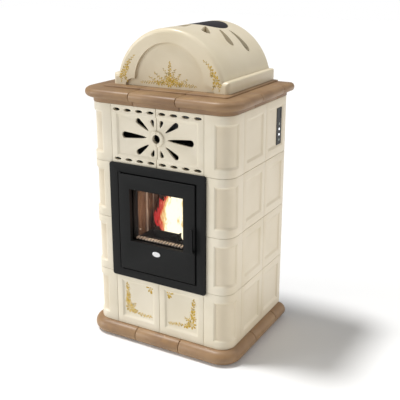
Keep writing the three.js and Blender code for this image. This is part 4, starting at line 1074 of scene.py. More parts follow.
def sheet_round_corner(name, z_levels, x_start, x_field, y_field, y_end):
    """An upright sheet along the front, round the corner and back."""
    bpy.ops.mesh.primitive_plane_add(size=1, rotation=(math.pi / 2, 0, 0))
    sheet = bpy.context.object
    sheet.location = (
        (x_start + x_field) / 2 * mm,
        front * mm,
        (z_levels[0] + z_levels[-1]) / 2 * mm,
    )
    sheet.scale = ((x_field - x_start) * mm, (z_levels[-1] - z_levels[0]) * mm, 1)
    settle(sheet, name)
    edit(sheet)
    slice_at("z", *z_levels[1:-1])

    def upright_at(x, y):
        def test(spot, edge):
            rise = abs(edge.verts[0].co.z - edge.verts[1].co.z)
            return rise > mm and abs(spot.x - x) < 0.01 and abs(spot.y - y) < 0.01

        return test

    pick("EDGE", upright_at(x_field, front))
    push(x=arc_x - x_field)
    pick("EDGE", upright_at(arc_x, front))
    spin_round_corner(16)
    far_x = max(v.co.x for v in bmesh.from_edit_mesh(sheet.data).verts) / mm
    print("  corner reaches x =", round(far_x, 2))
    pick("EDGE", upright_at(half_width, arc_y))
    push(y=y_field - arc_y)
    pick("EDGE", upright_at(half_width, y_field))
    push(y=y_end - y_field)
    pick_all()
    bpy.ops.mesh.remove_doubles(threshold=0.01 * mm)
    bpy.ops.mesh.normals_make_consistent(inside=False)
    shape = bmesh.from_edit_mesh(sheet.data)
    shape.faces.ensure_lookup_table()
    flat = next(f for f in shape.faces if f.calc_center_median().y / mm < front + 0.1)
    if flat.normal.y > 0:
        bpy.ops.mesh.flip_normals()
    return sheet


corner_start = front_tile + joint / 2
corner_end = front + corner_radius + corner_leg - joint / 2
field_from = arc_x - field_bevel
field_to = arc_y + field_bevel
field_low = base_height + end_margin
field_high = base_height + course - end_margin
corner_tile = sheet_round_corner(
    "corner_tile",
    [course_low, field_low, field_high, course_high],
    corner_start,
    field_from,
    field_to,
    corner_end,
)


def in_corner_field(spot, face):
    tall = field_low < spot.z < field_high
    return tall and spot.x > field_from and spot.y < field_to


pick("FACE", in_corner_field)
sink_picked(base_height)
done()
corner_wall = (tile_thickness - field_depth) * mm
modify(corner_tile, "SOLIDIFY", thickness=corner_wall, offset=-1)
soften(corner_tile, tile_round, 12)
smooth(corner_tile, 40)
for level in range(courses):
    for side in ("right", "left"):
        twin = copy_of(
            corner_tile,
            f"corner_tile_glazed_{side}_{level + 1}",
            (0, 0, level * course),
            mirror=side == "left",
        )
        glaze_tile(twin, f"corner_tile_{side}_{level + 1}")
print("corner tile:", len(corner_tile.data.polygons), "faces")
bpy.data.objects.remove(corner_tile)

# %% [markdown]
# Over the door two tiles carry a rosette between them, through which the
# stove breathes out its warm air. Both are made as one plate, so that the
# drops, the hub and the slots line up, and the plate is then cut in two.

# %% The drop cutter
vent_bottom = course_top - course
rosette_z = vent_bottom + course / 2
cut_front = front - 6
cut_back = front + tile_thickness + 6
belly_power = 0.62


def drop_outline(inner, outer, half_end, steps=10):
    """A full-bellied drop along +X: a tip at inner and a round end at outer."""
    middle = outer - half_end
    upper = []
    for step in range(1, steps):
        share = step / steps
        x = inner + (middle - inner) * share
        upper.append((x, half_end * share**belly_power))
    lower = [(x, -z) for x, z in upper]
    round_end = arc(middle, 0, half_end, half_end, -90, 90, 14)
    return [(inner, 0), *lower, *round_end, *upper[::-1]]


rosette_inner = 43
petals = [
    (0, 151, 12.5),
    (36, 108, 10.5),
    (-36, 108, 10.5),
    (72, 71, 7.8),
    (-72, 71, 7.8),
]
tools = []
for angle, reach, half_end in petals:
    outline = drop_outline(rosette_inner, reach, half_end)
    corners = [(x, cut_front, rosette_z + z) for x, z in outline]
    drop = prism("drop", corners, y=cut_back - cut_front)
    for turn in (angle, 180 - angle):
        spun = about((0, 0, rosette_z), "Y", -turn)
        tools.append(copy_of(drop, "drop_turned", turn=spun))
    bpy.data.objects.remove(drop)
print("rosette drops:", len(tools))

# %% The vent tiles
vent_half = front_tile - joint / 2
plate = slab(
    "vent_plate",
    (-vent_half, front, vent_bottom + joint / 2),
    (vent_half, front + tile_thickness, course_top - joint / 2),
)
field_half = 171
edit(plate)
sink_field("y", front, -field_half, field_half, vent_bottom)
round_fields()
done()

hub_radius = 30
hub_hole = 16
hub_depth = 14
hub_rise = 1
hub_y = front - hub_rise + hub_depth / 2
hub = rod("hub", "y", (0, hub_y, rosette_z), hub_radius, hub_depth, 64)
round_edges(hub, lambda spot, edge: spot.y < front, 5, 6)
combine(plate, hub, "UNION")
through = 60
tools.append(rod("hub_hole", "y", (0, front, rosette_z), hub_hole, through, 40))
slot_pitch = front_tile / 4
slot_margin = 17.5
slot_radius = 5.6
slot_stretch = 2.7
for column in range(-4, 4):
    for z in (vent_bottom + slot_margin, course_top - slot_margin):
        x = slot_pitch * (column + 0.5)
        bore = rod("slot", "y", (0, front, 0), slot_radius, through, 28)
        bore.data.transform(Matrix.Diagonal((slot_stretch, 1, 1, 1)))
        bore.data.transform(Matrix.Translation((x * mm, 0, z * mm)))
        tools.append(bore)
combine(plate, joined("vent_cutter", tools))

seam_half = joint * 0.9
for side, keep in (("right", 1), ("left", -1)):
    half = copy_of(plate, f"vent_tile_glazed_{side}")
    edit(half)
    seam_at = {"plane_co": (keep * seam_half * mm, 0, 0), "plane_no": (keep, 0, 0)}
    pick_all()
    bpy.ops.mesh.bisect(use_fill=True, clear_inner=True, **seam_at)
    outward()
    done()
    soften(half, 1.5, 40, 3)
    smooth(half, 40)
    glaze_tile(half, f"vent_tile_{side}")
    print(half.name, len(half.data.polygons), "faces")
bpy.data.objects.remove(plate)

# %% [markdown]
# ## Base and cornice
# The base is a half-round course on the floor. A rod is halved, its flat is
# extruded back to the casing, and for the corner piece the cut end is spun
# about the corner. The cornice is made the same way from a bead, a hollow
# and a round nose.

# %% Base
base_radius = base_height / 2
trim_half = 97
trim_gap = 2
trim_round = 1.6
trim_length = 191
trim_joints = [rear - trim_length / 2 - trim_length, rear - trim_length / 2]


def end_faces(axis, place):
    index = "xyz".index(axis)
    return lambda spot, face: abs(spot[index] - place) < 0.05 and (
        abs(face.normal[index]) > 0.9
    )


def half_round(name, x0, x1):
    centre = ((x0 + x1) / 2, front, base_radius)
    piece = rod(name, "x", centre, base_radius, x1 - x0, 56)
    edit(piece)
    slice_at("y", front, clear_outer=True, use_fill=True)
    pick("FACE", end_faces("y", front))
    push(y=tile_thickness)
    done()
    return piece


def finish_trim(piece):
    edit(piece)
    outward()
    done()
    soften(piece, trim_round, 50, 3)
    return smooth(piece, 40)


def side_run(piece, name, y0, y1):
    """A straight run along the right side, from a piece of the front."""
    run = copy_of(piece, name)
    run.data.transform(about((arc_x, arc_y, 0), "Z", 90))
    low = min(v.co.y for v in run.data.vertices) / mm
    high = max(v.co.y for v in run.data.vertices) / mm
    for vert in run.data.vertices:
        share = (vert.co.y / mm - low) / (high - low)
        vert.co.y = (y0 + (y1 - y0) * share) * mm
    return run


def trim_set(kind, make):
    """The front piece and the three pieces of each side."""
    middle_end = trim_half - trim_gap / 2
    middle = make(f"{kind}_front_glazed", -middle_end, middle_end)
    turning = make(f"{kind}_turning", trim_half + trim_gap / 2, arc_x)
    edit(turning)
    pick("FACE", end_faces("x", arc_x))
    spin_round_corner(20)
    pick("FACE", end_faces("y", arc_y))
    push(y=trim_joints[0] - trim_gap / 2 - arc_y)
    done()
    straight = make(f"{kind}_straight", arc_x - 50, arc_x)
    spans = [
        (trim_joints[0] + trim_gap / 2, trim_joints[1] - trim_gap / 2),
        (trim_joints[1] + trim_gap / 2, rear),
    ]
    runs = [
        side_run(straight, f"{kind}_run_{number}", y0, y1)
        for number, (y0, y1) in enumerate(spans)
    ]
    bpy.data.objects.remove(straight)
    for piece in (middle, turning, *runs):
        finish_trim(piece)
    return middle, [turning, *runs]


def glaze_trim(piece, node):
    return fit(piece, brown_glaze, "root", "trim_brown", node)


base_middle, base_side = trim_set("base", half_round)
base_right = joined("base_right_glazed", base_side)
base_left = copy_of(base_right, "base_left_glazed", mirror=True)
glaze_trim(base_middle, "base_front")
glaze_trim(base_right, "base_right")
glaze_trim(base_left, "base_left")
print("base:", len(base_right.data.polygons), "faces on each side")

# %% Cornice
cornice_low = course_top + clearance
nose_radius = 16.5
nose_z = course_top + 19 + nose_radius
nose_out = 32 - nose_radius
cornice_high = nose_z + nose_radius
plinth_top = cornice_high + 5
plinth_half = 260
plinth_front = front + 44
bead_out = 2
bead_chamfer = 1.5
bead_height = 10
shelf_depth = 45
shelf_wall = 12


def cornice_outline():
    """Bead, hollow and nose as (overhang, height) points."""
    hollow_low = cornice_low + bead_height + 2
    hollow_high = nose_z - nose_radius
    hollow_out, hollow_up = bead_out - nose_out, hollow_high - hollow_low
    return [
        (-tile_thickness, cornice_low),
        (0.6, cornice_low),
        (bead_out, cornice_low + bead_chamfer),
        (bead_out, cornice_low + bead_height),
        *arc(nose_out, hollow_low, hollow_out, hollow_up, 0, 90, 6),
        *arc(nose_out, nose_z, nose_radius, nose_radius, -90, 90, 24)[1:],
        (-shelf_depth, cornice_high),
        (-shelf_depth, cornice_high - shelf_wall),
        (-tile_thickness, cornice_high - shelf_wall),
    ]


def cornice_run(name, x0, x1):
    """A straight run: the outline as a face, extruded along the front."""
    corners = [(x0, front - out, z) for out, z in cornice_outline()]
    return prism(name, corners, x=x1 - x0)


cornice_middle, cornice_side = trim_set("cornice", cornice_run)
print("cornice run:", len(cornice_middle.data.polygons), "faces")

# %% [markdown]
# A low plinth on the cornice carries the vault. It is open in its middle, and
# its corners are rounded in plan. A web closes the hollow of the cornice at
# its rear end, where one would look into it.

# %% Plinth
well_half = 210
well_front = -117
plinth_round = 1.8
plinth_corner = 12
plinth_sunk = 3
plinth_end = trim_half - joint / 2


def plinth_block(name, low, high):
    return slab(name, (*low, cornice_high - plinth_sunk), (*high, plinth_top))


front_plinth = plinth_block(
    "plinth_front", (-plinth_end, plinth_front), (plinth_end, well_front)
)
soften(front_plinth, plinth_round)
smooth(front_plinth)
side_plinth = plinth_block(
    "plinth_side", (trim_half + joint / 2, plinth_front), (plinth_half, rear)
)
plinth_well = slab(
    "plinth_well",
    (0, well_front, cornice_low),
    (well_half, rear + 10, plinth_top + 10),
)
combine(side_plinth, plinth_well)


def at_plinth_corner(spot, edge):
    return abs(spot.x - plinth_half) < 0.1 and abs(spot.y - plinth_front) < 0.1


round_edges(side_plinth, at_plinth_corner, plinth_corner, 8)
soften(side_plinth, plinth_round, 50)
smooth(side_plinth)

web_from, web_to = 205, 284
end_web = slab(
    "end_web",
    (web_from, rear - 16, cornice_low + 1),
    (web_to, rear - 6, cornice_high - 2),
)
soften(end_web, 1)
cornice_right = joined("cornice_right_glazed", [*cornice_side, side_plinth, end_web])
cornice_left = copy_of(cornice_right, "cornice_left_glazed", mirror=True)
cornice_front = joined("cornice_front_glazed", [cornice_middle, front_plinth])
glaze_trim(cornice_front, "cornice_front")
glaze_trim(cornice_right, "cornice_right")
glaze_trim(cornice_left, "cornice_left")
print("cornice:", len(cornice_right.data.polygons), "faces on each side")

# %% [markdown]
# ## The vaulted top
# The top is one large ceramic casting shaped like a bread oven. Its section
# is a circle cut off above the ledges. The ledges are extruded out of the
# cut, the section is pulled to the rear, and the front rim is rounded. The
# arch panel, the hollow, the filling hole and the drops are cut afterwards.

# %% Vault
vault_radius = 228
vault_z = plinth_top - 14
dome_low = plinth_top + clearance
dome_front = front + 87
ledge_half = 242
ledge_z = plinth_top + 42
vault_wall = 12
crown_wall = 26
rim_round = 16
ledge_round = 7
least_round = 1.5


def vault_ring(y, inset, radius, ledge, ledge_top, bottom, steps=96):
    """The section at y: the barrel, its ledges and the open foot."""
    round_off = max(ledge_round - inset, least_round)
    rise = math.degrees(math.asin((ledge_top - inset - vault_z) / (radius - inset)))
    corner_x = ledge - inset - round_off
    corner_z = ledge_top - inset - round_off
    ring = arc(0, vault_z, radius - inset, radius - inset, rise, 180 - rise, steps)
    ring += arc(-corner_x, corner_z, round_off, round_off, 90, 180, 6)
    ring += [(-ledge + inset, bottom), (ledge - inset, bottom)]
    ring += arc(corner_x, corner_z, round_off, round_off, 0, 90, 6)
    return [(x, y, z) for x, z in ring]


def rim(y, radius, steps, inwards):
    """(place, inset) pairs of a quarter-round rim, from its end inwards."""
    turns = [math.radians(step * 90 / steps) for step in range(steps + 1)]
    return [
        (y + inwards * radius * (1 - math.cos(turn)), radius * (1 - math.sin(turn)))
        for turn in turns
    ]


def vault(name, y0, y1, size, front_round, rear_round, rows=30):
    """A barrel on two ledges with rounded rims at both ends."""
    start, end = y0 + front_round, y1 - rear_round
    stations = rim(y0, front_round, 8, 1)
    stations += [(start + (end - start) * row / rows, 0) for row in range(1, rows)]
    stations += rim(y1, rear_round, 4, -1)[::-1]
    return loft(name, [vault_ring(y, inset, *size) for y, inset in stations])


dome = vault(
    "vaulted_top_glazed",
    dome_front,
    rear,
    (vault_radius, ledge_half, ledge_z, dome_low),
    rim_round,
    2.5,
)
print("vault blank:", len(dome.data.polygons), "faces")

# %% Arch panel, hollow and holes of the vaulted top
panel_radius = 146
panel_z = plinth_top + 18
panel_depth = 8
ear_x = 150
ear_half = 36
ear_height = 26

ear_meets = 3.06
ahead = 40
panel_right = arc(0, panel_z, panel_radius, panel_radius, 90, ear_meets, 48)
panel_right += arc(ear_x, plinth_top, ear_half, ear_height, 96, 0, 20)
panel_right.append((ear_x + ear_half, dome_low - 20))
panel_outline = panel_right + [(-x, z) for x, z in panel_right[:0:-1]]
panel = prism(
    "panel",
    [(x, dome_front - ahead, z) for x, z in panel_outline],
    y=ahead + panel_depth,
)
combine(dome, panel)

hollow = vault(
    "hollow",
    dome_front + panel_depth + vault_wall,
    rear - vault_wall,
    (
        vault_radius - crown_wall,
        ledge_half - vault_wall,
        ledge_z - vault_wall,
        dome_low - 10,
    ),
    4,
    4,
    rows=4,
)
combine(dome, hollow)

lid_y = 122
lid_radius = 85
lid_gap = 3
hole = rod("filling_hole", "z", (0, lid_y, 1150), lid_radius + lid_gap, 300, 96)
combine(dome, hole)

drop_inner, drop_outer, drop_half = 101, 187, 16
drop_cut_low, drop_cut_height = 1020, 260
first_drop = prism(
    "roof_drop",
    [
        (y, lid_y - x, drop_cut_low)
        for x, y in drop_outline(drop_inner, drop_outer, drop_half)
    ],
    z=drop_cut_height,
)
fan = [
    copy_of(first_drop, f"roof_drop_{turn}", turn=about((0, lid_y, 0), "Z", turn))
    for turn in (-90, -60, -30, 0, 30, 60, 90)
]
bpy.data.objects.remove(first_drop)
combine(dome, joined("roof_drops", fan))
edit(dome)
outward()
pick_all()
bpy.ops.mesh.dissolve_degenerate(threshold=0.3 * mm)
done()
soften(dome, 2.2, 32, 3)
smooth(dome, 32)
modify(dome, "WEIGHTED_NORMAL", keep_sharp=True)
fit(dome, dome_glaze, "root", "tile_cream", "dome")
print("vaulted top:", len(dome.data.polygons), "faces")

# %% [markdown]
# The lid of the pellet hopper lies in the crest of the vault and follows its
# curve. It is the overlap of an upright disc and the barrel.

# %% Hopper lid
lid = rod("hopper_lid_disc", "z", (0, lid_y, 1170), lid_radius, 160, 96)
barrel = rod("barrel", "y", (0, lid_y, vault_z), vault_radius, 260, 256)
core = rod("core", "y", (0, lid_y, vault_z), vault_radius - vault_wall, 280, 256)
combine(barrel, core)
combine(lid, barrel, "INTERSECT")
edit(lid)
outward()
done()
soften(lid, 2.0, 40, 3)
smooth(lid, 30)
fit(lid, lid_black, "lid", "door_black", "hopper_lid")
print("lid:", len(lid.data.polygons), "faces")

# %% [markdown]
# ## The steel parts
# The parts that the CAD model already shapes well keep its solids. Their
# loose triangles are welded and their edges rounded by modifiers, which
# leave the CAD mesh itself alone.

# %% Rounded edges on CAD solids
def ease(node, width, segments=2):
    """Weld and bevel as live modifiers on a CAD node."""
    part = frame["nodes"][node]
    weld = part.modifiers.new("weld", "WELD")
    weld.merge_threshold = 0.002 * mm
    bevel = part.modifiers.new("bevel", "BEVEL")
    bevel.width = width * mm
    bevel.segments = segments
    bevel.limit_method = "ANGLE"
    bevel.angle_limit = math.radians(40)
    return part


def dress(node, finish, width=None, **options):
    part = ease(node, width, **options) if width else frame["nodes"][node]
    part.data.materials.clear()
    part.data.materials.append(finish)
    return part


dress("surround", door_black, 0.9)
dress("door_handle", door_black, 1.2)
dress("door_glass", door_glass)
dress("door_gasket", fibre_rope, 2.2, segments=3)
dress("badge", badge_metal, 0.7)
dress("rear_panel", casing_black, 0.6)
dress("chassis", casing_black)
dress("power_inlet", dark_plastic, 0.5)
dress("power_switch", dark_plastic, 0.5)
dress("control_panel", dark_plastic, 0.6)
dress("firebox", sooty_iron)
dress("firebox_liner", liner_board)
dress("baffle", liner_board)
dress("burn_pot", sooty_iron, 0.8)
for name in (
    "igniter",
    "ash_drawer",
    "hopper",
    "auger_screw",
    "auger_motor",
    "exhaust_housing",
    "exhaust_rotor",
    "room_fan_housing",
    "room_fan_rotor",
):
    dress(name, zinc_sheet)
for name in ("front_left", "front_right", "rear_left", "rear_right"):
    dress("foot_" + name, pad_rubber, 0.8)
for number in range(1, 5):
    glow = bright_button if number in (2, 3) else dim_button
    dress(f"button_{number}", glow, 0.4)
print("CAD solids dressed")

# %% [markdown]
# The door is a steel plate with a window. Its outer front edges are rounded
# wide, so that the gap all round it catches no light and reads as a line.

# %% Door plate
door_half = 163.5
door_low, door_high = 304, 682.5
door_face, door_rear = -246, -225.5
window_low, window_high = 423, 628
window_half = 115
rebate_lap = 9
rebate_depth = 5.5
door_round = 3.2
door_plate = slab(
    "door_plate", (-door_half, door_face, door_low), (door_half, door_rear, door_high)
)
round_edges(door_plate, lambda spot, edge: spot.y < door_face + 0.1, door_round, 4)
combine(
    door_plate,
    slab(
        "window",
        (-window_half, door_face - 5, window_low),
        (window_half, door_rear + 5, window_high),
    ),
)
combine(
    door_plate,
    slab(
        "rebate",
        (-window_half - rebate_lap, door_rear - rebate_depth, window_low - rebate_lap),
        (window_half + rebate_lap, door_rear + 5, window_high + rebate_lap),
    ),
)
pin_x, pin_y = -158, -240
pin_bore, spindle_bore = 3.8, 4.3
spindle = (157, -236, 434)
for z in (door_low, door_high):
    combine(door_plate, rod("pin_bore", "z", (pin_x, pin_y, z), pin_bore, 25, 24))
combine(door_plate, rod("spindle_bore", "y", spindle, spindle_bore, 40, 24))
soften(door_plate, 0.9, 40, 2)
smooth(door_plate, 30)
fit(door_plate, door_black, "door", "door_black", "door_frame")
print("door:", len(door_plate.data.polygons), "faces")

# %% [markdown]
# The surround is the black frame that the door sits in. Its face stands proud
# of the tiles. A sheet laid on the CAD solid brings it further out, so that
# the gap round the door is deep enough to read as a dark line.

# %% Cover of the surround
cover_front, cover_back = -241.7, -238.4
cover_half, cover_low, cover_high, cover_corner = 204.5, 267.5, 721, 9
cover_outline = []
for turn, x, z in (
    (0, cover_half - cover_corner, cover_high - cover_corner),
    (90, -cover_half + cover_corner, cover_high - cover_corner),
    (180, -cover_half + cover_corner, cover_low + cover_corner),
    (270, cover_half - cover_corner, cover_low + cover_corner),
):
    cover_outline += arc(x, z, cover_corner, cover_corner, turn, turn + 90, 8)
surround_cover = prism(
    "surround_cover",
    [(x, cover_front, z) for x, z in cover_outline],
    y=cover_back - cover_front,
)
opening_half, opening_low, opening_high = 168, 299.5, 687
opening = slab(
    "opening",
    (-opening_half, cover_front - 5, opening_low),
    (opening_half, cover_back + 5, opening_high),
)
combine(surround_cover, opening)
soften(surround_cover, 1.1, 40, 3)
smooth(surround_cover, 30)
fit(surround_cover, door_black, "root", "door_black")
print("surround cover:", len(surround_cover.data.polygons), "faces")

# %% [markdown]
# The rear panel is a flat sheet, held along its edges by pan-head screws. A
# head is a short cone, rounded over, with a cross cut into it.

# %% Screws of the rear panel
panel_back = 233.7
head_middle = panel_back + 0.9
head = rod("rear_screw", "y", (0, head_middle, 0), 4.2, 1.8, 20, far_radius=3.4)
round_edges(head, lambda spot, edge: spot.y > panel_back + 1, 0.5, 2)
for wide, tall in ((4.6, 0.9), (0.9, 4.6)):
    cross = slab(
        "cross",
        (-wide / 2, head_middle, -tall / 2),
        (wide / 2, panel_back + 4, tall / 2),
    )
    combine(head, cross)
screw_edge = 272
screw_inner = 95
screw_rows = (70, 300, 530, 760, 935)
heads = []
for side in (-1, 1):
    for row, z in enumerate(screw_rows):
        place = (side * screw_edge, 0, z)
        driven = about((0, panel_back, 0), "Y", 23 * row)
        heads.append(copy_of(head, "rear_screw_copy", place, driven))
for x in (-screw_inner, screw_inner):
    heads.append(copy_of(head, "rear_screw_copy", (x, 0, screw_rows[-1])))
bpy.data.objects.remove(head)
rear_screws = joined("rear_screws", heads)
smooth(rear_screws, 35)
fit(rear_screws, zinc_sheet, "root", "inner_steel")
print("rear screws:", len(heads))

# %% [markdown]
# ## The gold flowers
# Each flower spray is painted by hand in gold. It is built from one small
# leaf, which is copied along a curve, turned and scaled. The leaves stand a
# fraction of a millimetre proud, like thick enamel paint.

# %% One leaf
def leaf_points(sides=10):
    """A pointed leaf along +X, 1 long and 0.42 wide, as flat points."""
    points = []
    for step in range(sides):
        turn = 2 * math.pi * step / sides
        across = math.sin(turn)
        swell = 1 - 0.35 * math.cos(turn)
        points.append((0.5 - 0.5 * math.cos(turn), 0.21 * across * swell))
    return points


LEAF = leaf_points()


class Spray:
    """Collects painted leaves, dots and stems on an upright face."""

    thickness = 0.2
    root = 0.1

    def __init__(self, name, y):
        self.name = name
        self.y = y
        self.count = 0
        self.shape = bmesh.new()

    def patch(self, outline):
        """A brush mark with a raised middle; no two lie equally high."""
        self.count += 1
        lift = self.y - self.thickness - 0.005 * (self.count * 37 % 61)
        root = self.y + self.root
        cx = sum(x for x, z in outline) / len(outline)
        cz = sum(z for x, z in outline) / len(outline)
        edge = [self.shape.verts.new((x * mm, root * mm, z * mm)) for x, z in outline]
        inner = [
            self.shape.verts.new(
                ((cx + (x - cx) * 0.7) * mm, lift * mm, (cz + (z - cz) * 0.7) * mm)
            )
            for x, z in outline
        ]
        for i in range(len(outline)):
            j = (i + 1) % len(outline)
            self.shape.faces.new((edge[i], edge[j], inner[j], inner[i]))
        self.shape.faces.new(inner)
        self.shape.faces.new(edge[::-1])

    def leaf(self, x, z, angle, length, width=1.0):
        turn = math.radians(angle)
        along, up = math.cos(turn), math.sin(turn)
        self.patch(
            [
                (
                    x + length * (a * along - b * width * up),
                    z + length * (a * up + b * width * along),
                )
                for a, b in LEAF
            ]
        )

    def dot(self, x, z, radius):
        self.patch(arc(x, z, radius, radius, 0, 315, 7))

    def stem(self, points, width=0.7):
        """A thin line through points."""
        for (x0, z0), (x1, z1) in zip(points, points[1:]):
            length = math.hypot(x1 - x0, z1 - z0)
            angle = math.degrees(math.atan2(z1 - z0, x1 - x0))
            self.leaf(x0, z0, angle, length * 1.25, width / max(length * 0.42, 0.1))

    def bloom(self, x, z, radius, petals=6, tilt=0):
        """A flower: petals round a dot, with gaps between them."""
        for number in range(petals):
            angle = tilt + 360 * number / petals
            turn = math.radians(angle)
            start = 0.2 * radius
            leaf_x = x + start * math.cos(turn)
            leaf_z = z + start * math.sin(turn)
            self.leaf(leaf_x, leaf_z, angle, radius * 0.85, 1.2)
        self.dot(x, z, radius * 0.17)

    def twig(self, start, end, bend, leaves, length, seed, spread=52):
        """A curved stem; its leaves alternate and shrink towards the tip."""
        chance = random.Random(seed)
        (x0, z0), (x1, z1) = start, end
        mx, mz = (x0 + x1) / 2 - bend * (z1 - z0), (z0 + z1) / 2 + bend * (x1 - x0)

        def spot(t):
            return (
                (1 - t) ** 2 * x0 + 2 * t * (1 - t) * mx + t * t * x1,
                (1 - t) ** 2 * z0 + 2 * t * (1 - t) * mz + t * t * z1,
            )

        def heading(t):
            (xa, za), (xb, zb) = spot(t - 0.03), spot(t + 0.03)
            return math.degrees(math.atan2(zb - za, xb - xa))

        self.stem([spot(i / 9) for i in range(10)])
        for number in range(leaves):
            for side in (-1, 1):
                t = (number + 0.5 + 0.22 * side) / leaves
                x, z = spot(t)
                size = length * (1 - 0.45 * t) * chance.uniform(0.75, 1.2)
                way = heading(t) + side * (spread + chance.uniform(-14, 14))
                self.leaf(x, z, way, size, 1.25)
                if chance.random() < 0.4:
                    turn = math.radians(way + side * 38)
                    reach = size * 0.85
                    self.dot(x + reach * math.cos(turn), z + reach * math.sin(turn), 1.5)
        tip = spot(1)
        self.leaf(*tip, heading(1), length * 0.6, 1.1)

    def finish(self):
        mesh = bpy.data.meshes.new(self.name)
        self.shape.to_mesh(mesh)
        self.shape.free()
        piece = shown(self.name, mesh)
        edit(piece)
        pick_all()
        bpy.ops.mesh.normals_make_consistent(inside=False)
        done()
        fit(piece, gold_paint, "root", "tile_cream")
        print(self.name, self.count, "brush marks,", len(mesh.polygons), "faces")
        return piece


# %% Flowers on the vaulted top
heart = Spray("gold_flowers_vault_middle", dome_front + panel_depth)
heart.twig((0, 1016), (1, 1086), 0.03, 8, 13, 3, 44)
for side in (-1, 1):
    heart.twig((side * 4, 1018), (side * 24, 1062), side * 0.12, 4, 11, 4 + side)
    for x0, z0, x1, z1, bend, leaves, length, seed in (
        (8, 1016, 52 - 8 * side, 1046, -0.14, 5, 11, 8),
        (20, 1013, 78 - 6 * side, 1030, -0.12, 5, 10, 12),
        (24, 1009, 114 - 6 * side, 1010, 0.05, 9, 10, 16),
    ):
        start, end = (side * x0, z0), (side * x1, z1)
        heart.twig(start, end, side * bend, leaves, length, seed + side)
    heart.bloom(side * 23, 1013, 9, 6, 10 * side)
    heart.bloom(side * 46, 1009, 7, 5, 30)
    heart.bloom(side * 15, 1034, 8, 6, 24)
heart.bloom(0, 1014, 16, 8, 22)
heart.bloom(0, 1046, 7, 5, 18)
heart.finish()

for side in (-1, 1):
    name = "left" if side < 0 else "right"
    border = Spray(f"gold_flowers_vault_{name}", dome_front)
    border.twig((side * 196, 1046), (side * 146, 1104), side * -0.1, 6, 12, 21)
    border.twig((side * 186, 1046), (side * 170, 1082), side * 0.1, 3, 10, 22)
    border.twig((side * 198, 1036), (side * 205, 1008), side * 0.1, 3, 10, 23)
    border.twig((side * 188, 1034), (side * 180, 1010), side * 0.1, 2, 9, 24)
    border.bloom(side * 193, 1040, 14, 7, 10)
    border.bloom(side * 207, 1024, 8, 6, 10)
    border.bloom(side * 176, 1058, 9, 6, 30)
    border.bloom(side * 186, 1020, 7, 5, 30)
    border.finish()

# %% Flowers on the lower tiles
for side in (-1, 1):
    name = "left" if side < 0 else "right"
    spray = Spray(f"gold_flowers_lower_{name}", front + field_depth)
    spray.twig((side * 146, 142), (side * 149, 228), side * 0.04, 8, 17, 31, 40)
    spray.twig((side * 134, 122), (side * 44, 112), side * 0.06, 7, 15, 32, 42)
    spray.twig((side * 136, 134), (side * 114, 150), side * 0.1, 3, 12, 33)
    spray.bloom(side * 141, 128, 19, 7, 15)
    spray.bloom(side * 121, 119, 12, 6, 40)
    spray.bloom(side * 149, 154, 12, 6, 10)
    spray.bloom(side * 131, 146, 9, 5, 20)
    spray.bloom(side * 42, 232, 12, 5, 10)
    spray.leaf(side * 40, 228, -84, 17, 1.5)
    spray.leaf(side * 46, 228, -60 if side > 0 else -120, 12, 1.4)
    spray.leaf(side * 50, 236, 0 if side > 0 else 180, 12, 1.4)
    spray.finish()

# %% [markdown]
# ## The fire
# The picture shows the stove burning. The flame is light, not matter, so it
# is a bundle of tapered tongues that glow. A pale core stands inside a
# ragged red and orange skin. Pellet embers fill the burn pot below.

# %% Flame
def tongue(name, foot, height, width, lean, seed, depth_share):
    """A flame tongue: a ball drawn out to a wavering tip."""
    bpy.ops.mesh.primitive_uv_sphere_add(segments=20, ring_count=24, radius=1)
    piece = bpy.context.object
    for vert in piece.data.vertices:
        rise = (vert.co.z + 1) / 2
        swell = max(1 - rise, 0) ** 0.75 * (0.35 + 1.9 * rise) ** 0.6
        waver = noise.noise(Vector((seed * 7.1, rise * 2.2, 0)))
        sway = noise.noise(Vector((seed * 3.3, rise * 2.6, 9)))
        around = 1 + 0.35 * noise.noise(
            Vector((vert.co.x * 1.5 + seed, vert.co.y * 1.5, rise * 3))
        )
        x = foot[0] + vert.co.x * width * swell * around + rise * lean + 16 * waver * rise
        y = foot[1] + vert.co.y * width * depth_share * swell * around + 9 * sway * rise
        z = foot[2] + height * rise
        vert.co = Vector((x * mm, y * mm, z * mm))
    return settle(piece, name)


chance = random.Random(5)


def blaze_of(name, middle, tongues, finish, seed, depth_share):
    """Tongues given as (x, z, height, width, lean), fused into one skin."""
    made = []
    for number, (x, z, height, width, lean) in enumerate(tongues):
        foot = (x, middle + chance.uniform(-4, 4), z)
        made.append(tongue(name, foot, height, width, lean, seed + number, depth_share))
    flame = joined(name, made)
    modify(flame, "REMESH", mode="VOXEL", voxel_size=1.6 * mm)
    smooth(flame, 80)
    return fit(flame, finish, "pot", "liner_refractory")


flame_heart = blaze_of(
    "flame_heart",
    -156,
    [
        (-16, 428, 131, 18, -8),
        (0, 428, 175, 26, -4),
        (22, 428, 207, 36, 0),
        (46, 428, 203, 34, 4),
        (60, 428, 179, 26, 8),
    ],
    flame_core,
    1,
    0.55,
)
edge_licks = [
    (-58 + 6 * step, 452 + 15 * step, 62 - 3 * step, 8 + step % 3, -22 + 2 * step)
    for step in range(9)
]
flame_fringe = blaze_of(
    "flame_fringe",
    -138,
    [
        (-44, 438, 100, 20, -16),
        (-34, 434, 148, 24, -12),
        (-14, 434, 182, 26, -8),
        (10, 434, 198, 30, -4),
        (40, 434, 196, 30, 6),
        (58, 434, 180, 26, 10),
        *edge_licks,
    ],
    flame_skin,
    21,
    0.5,
)
for flame in (flame_heart, flame_fringe):
    print(flame.name, len(flame.data.polygons), "faces")

# %% [markdown]
# The fire lights its own chamber. A small warm lamp in front of the flame adds
# to the glow of its mesh, and isn't seen itself.

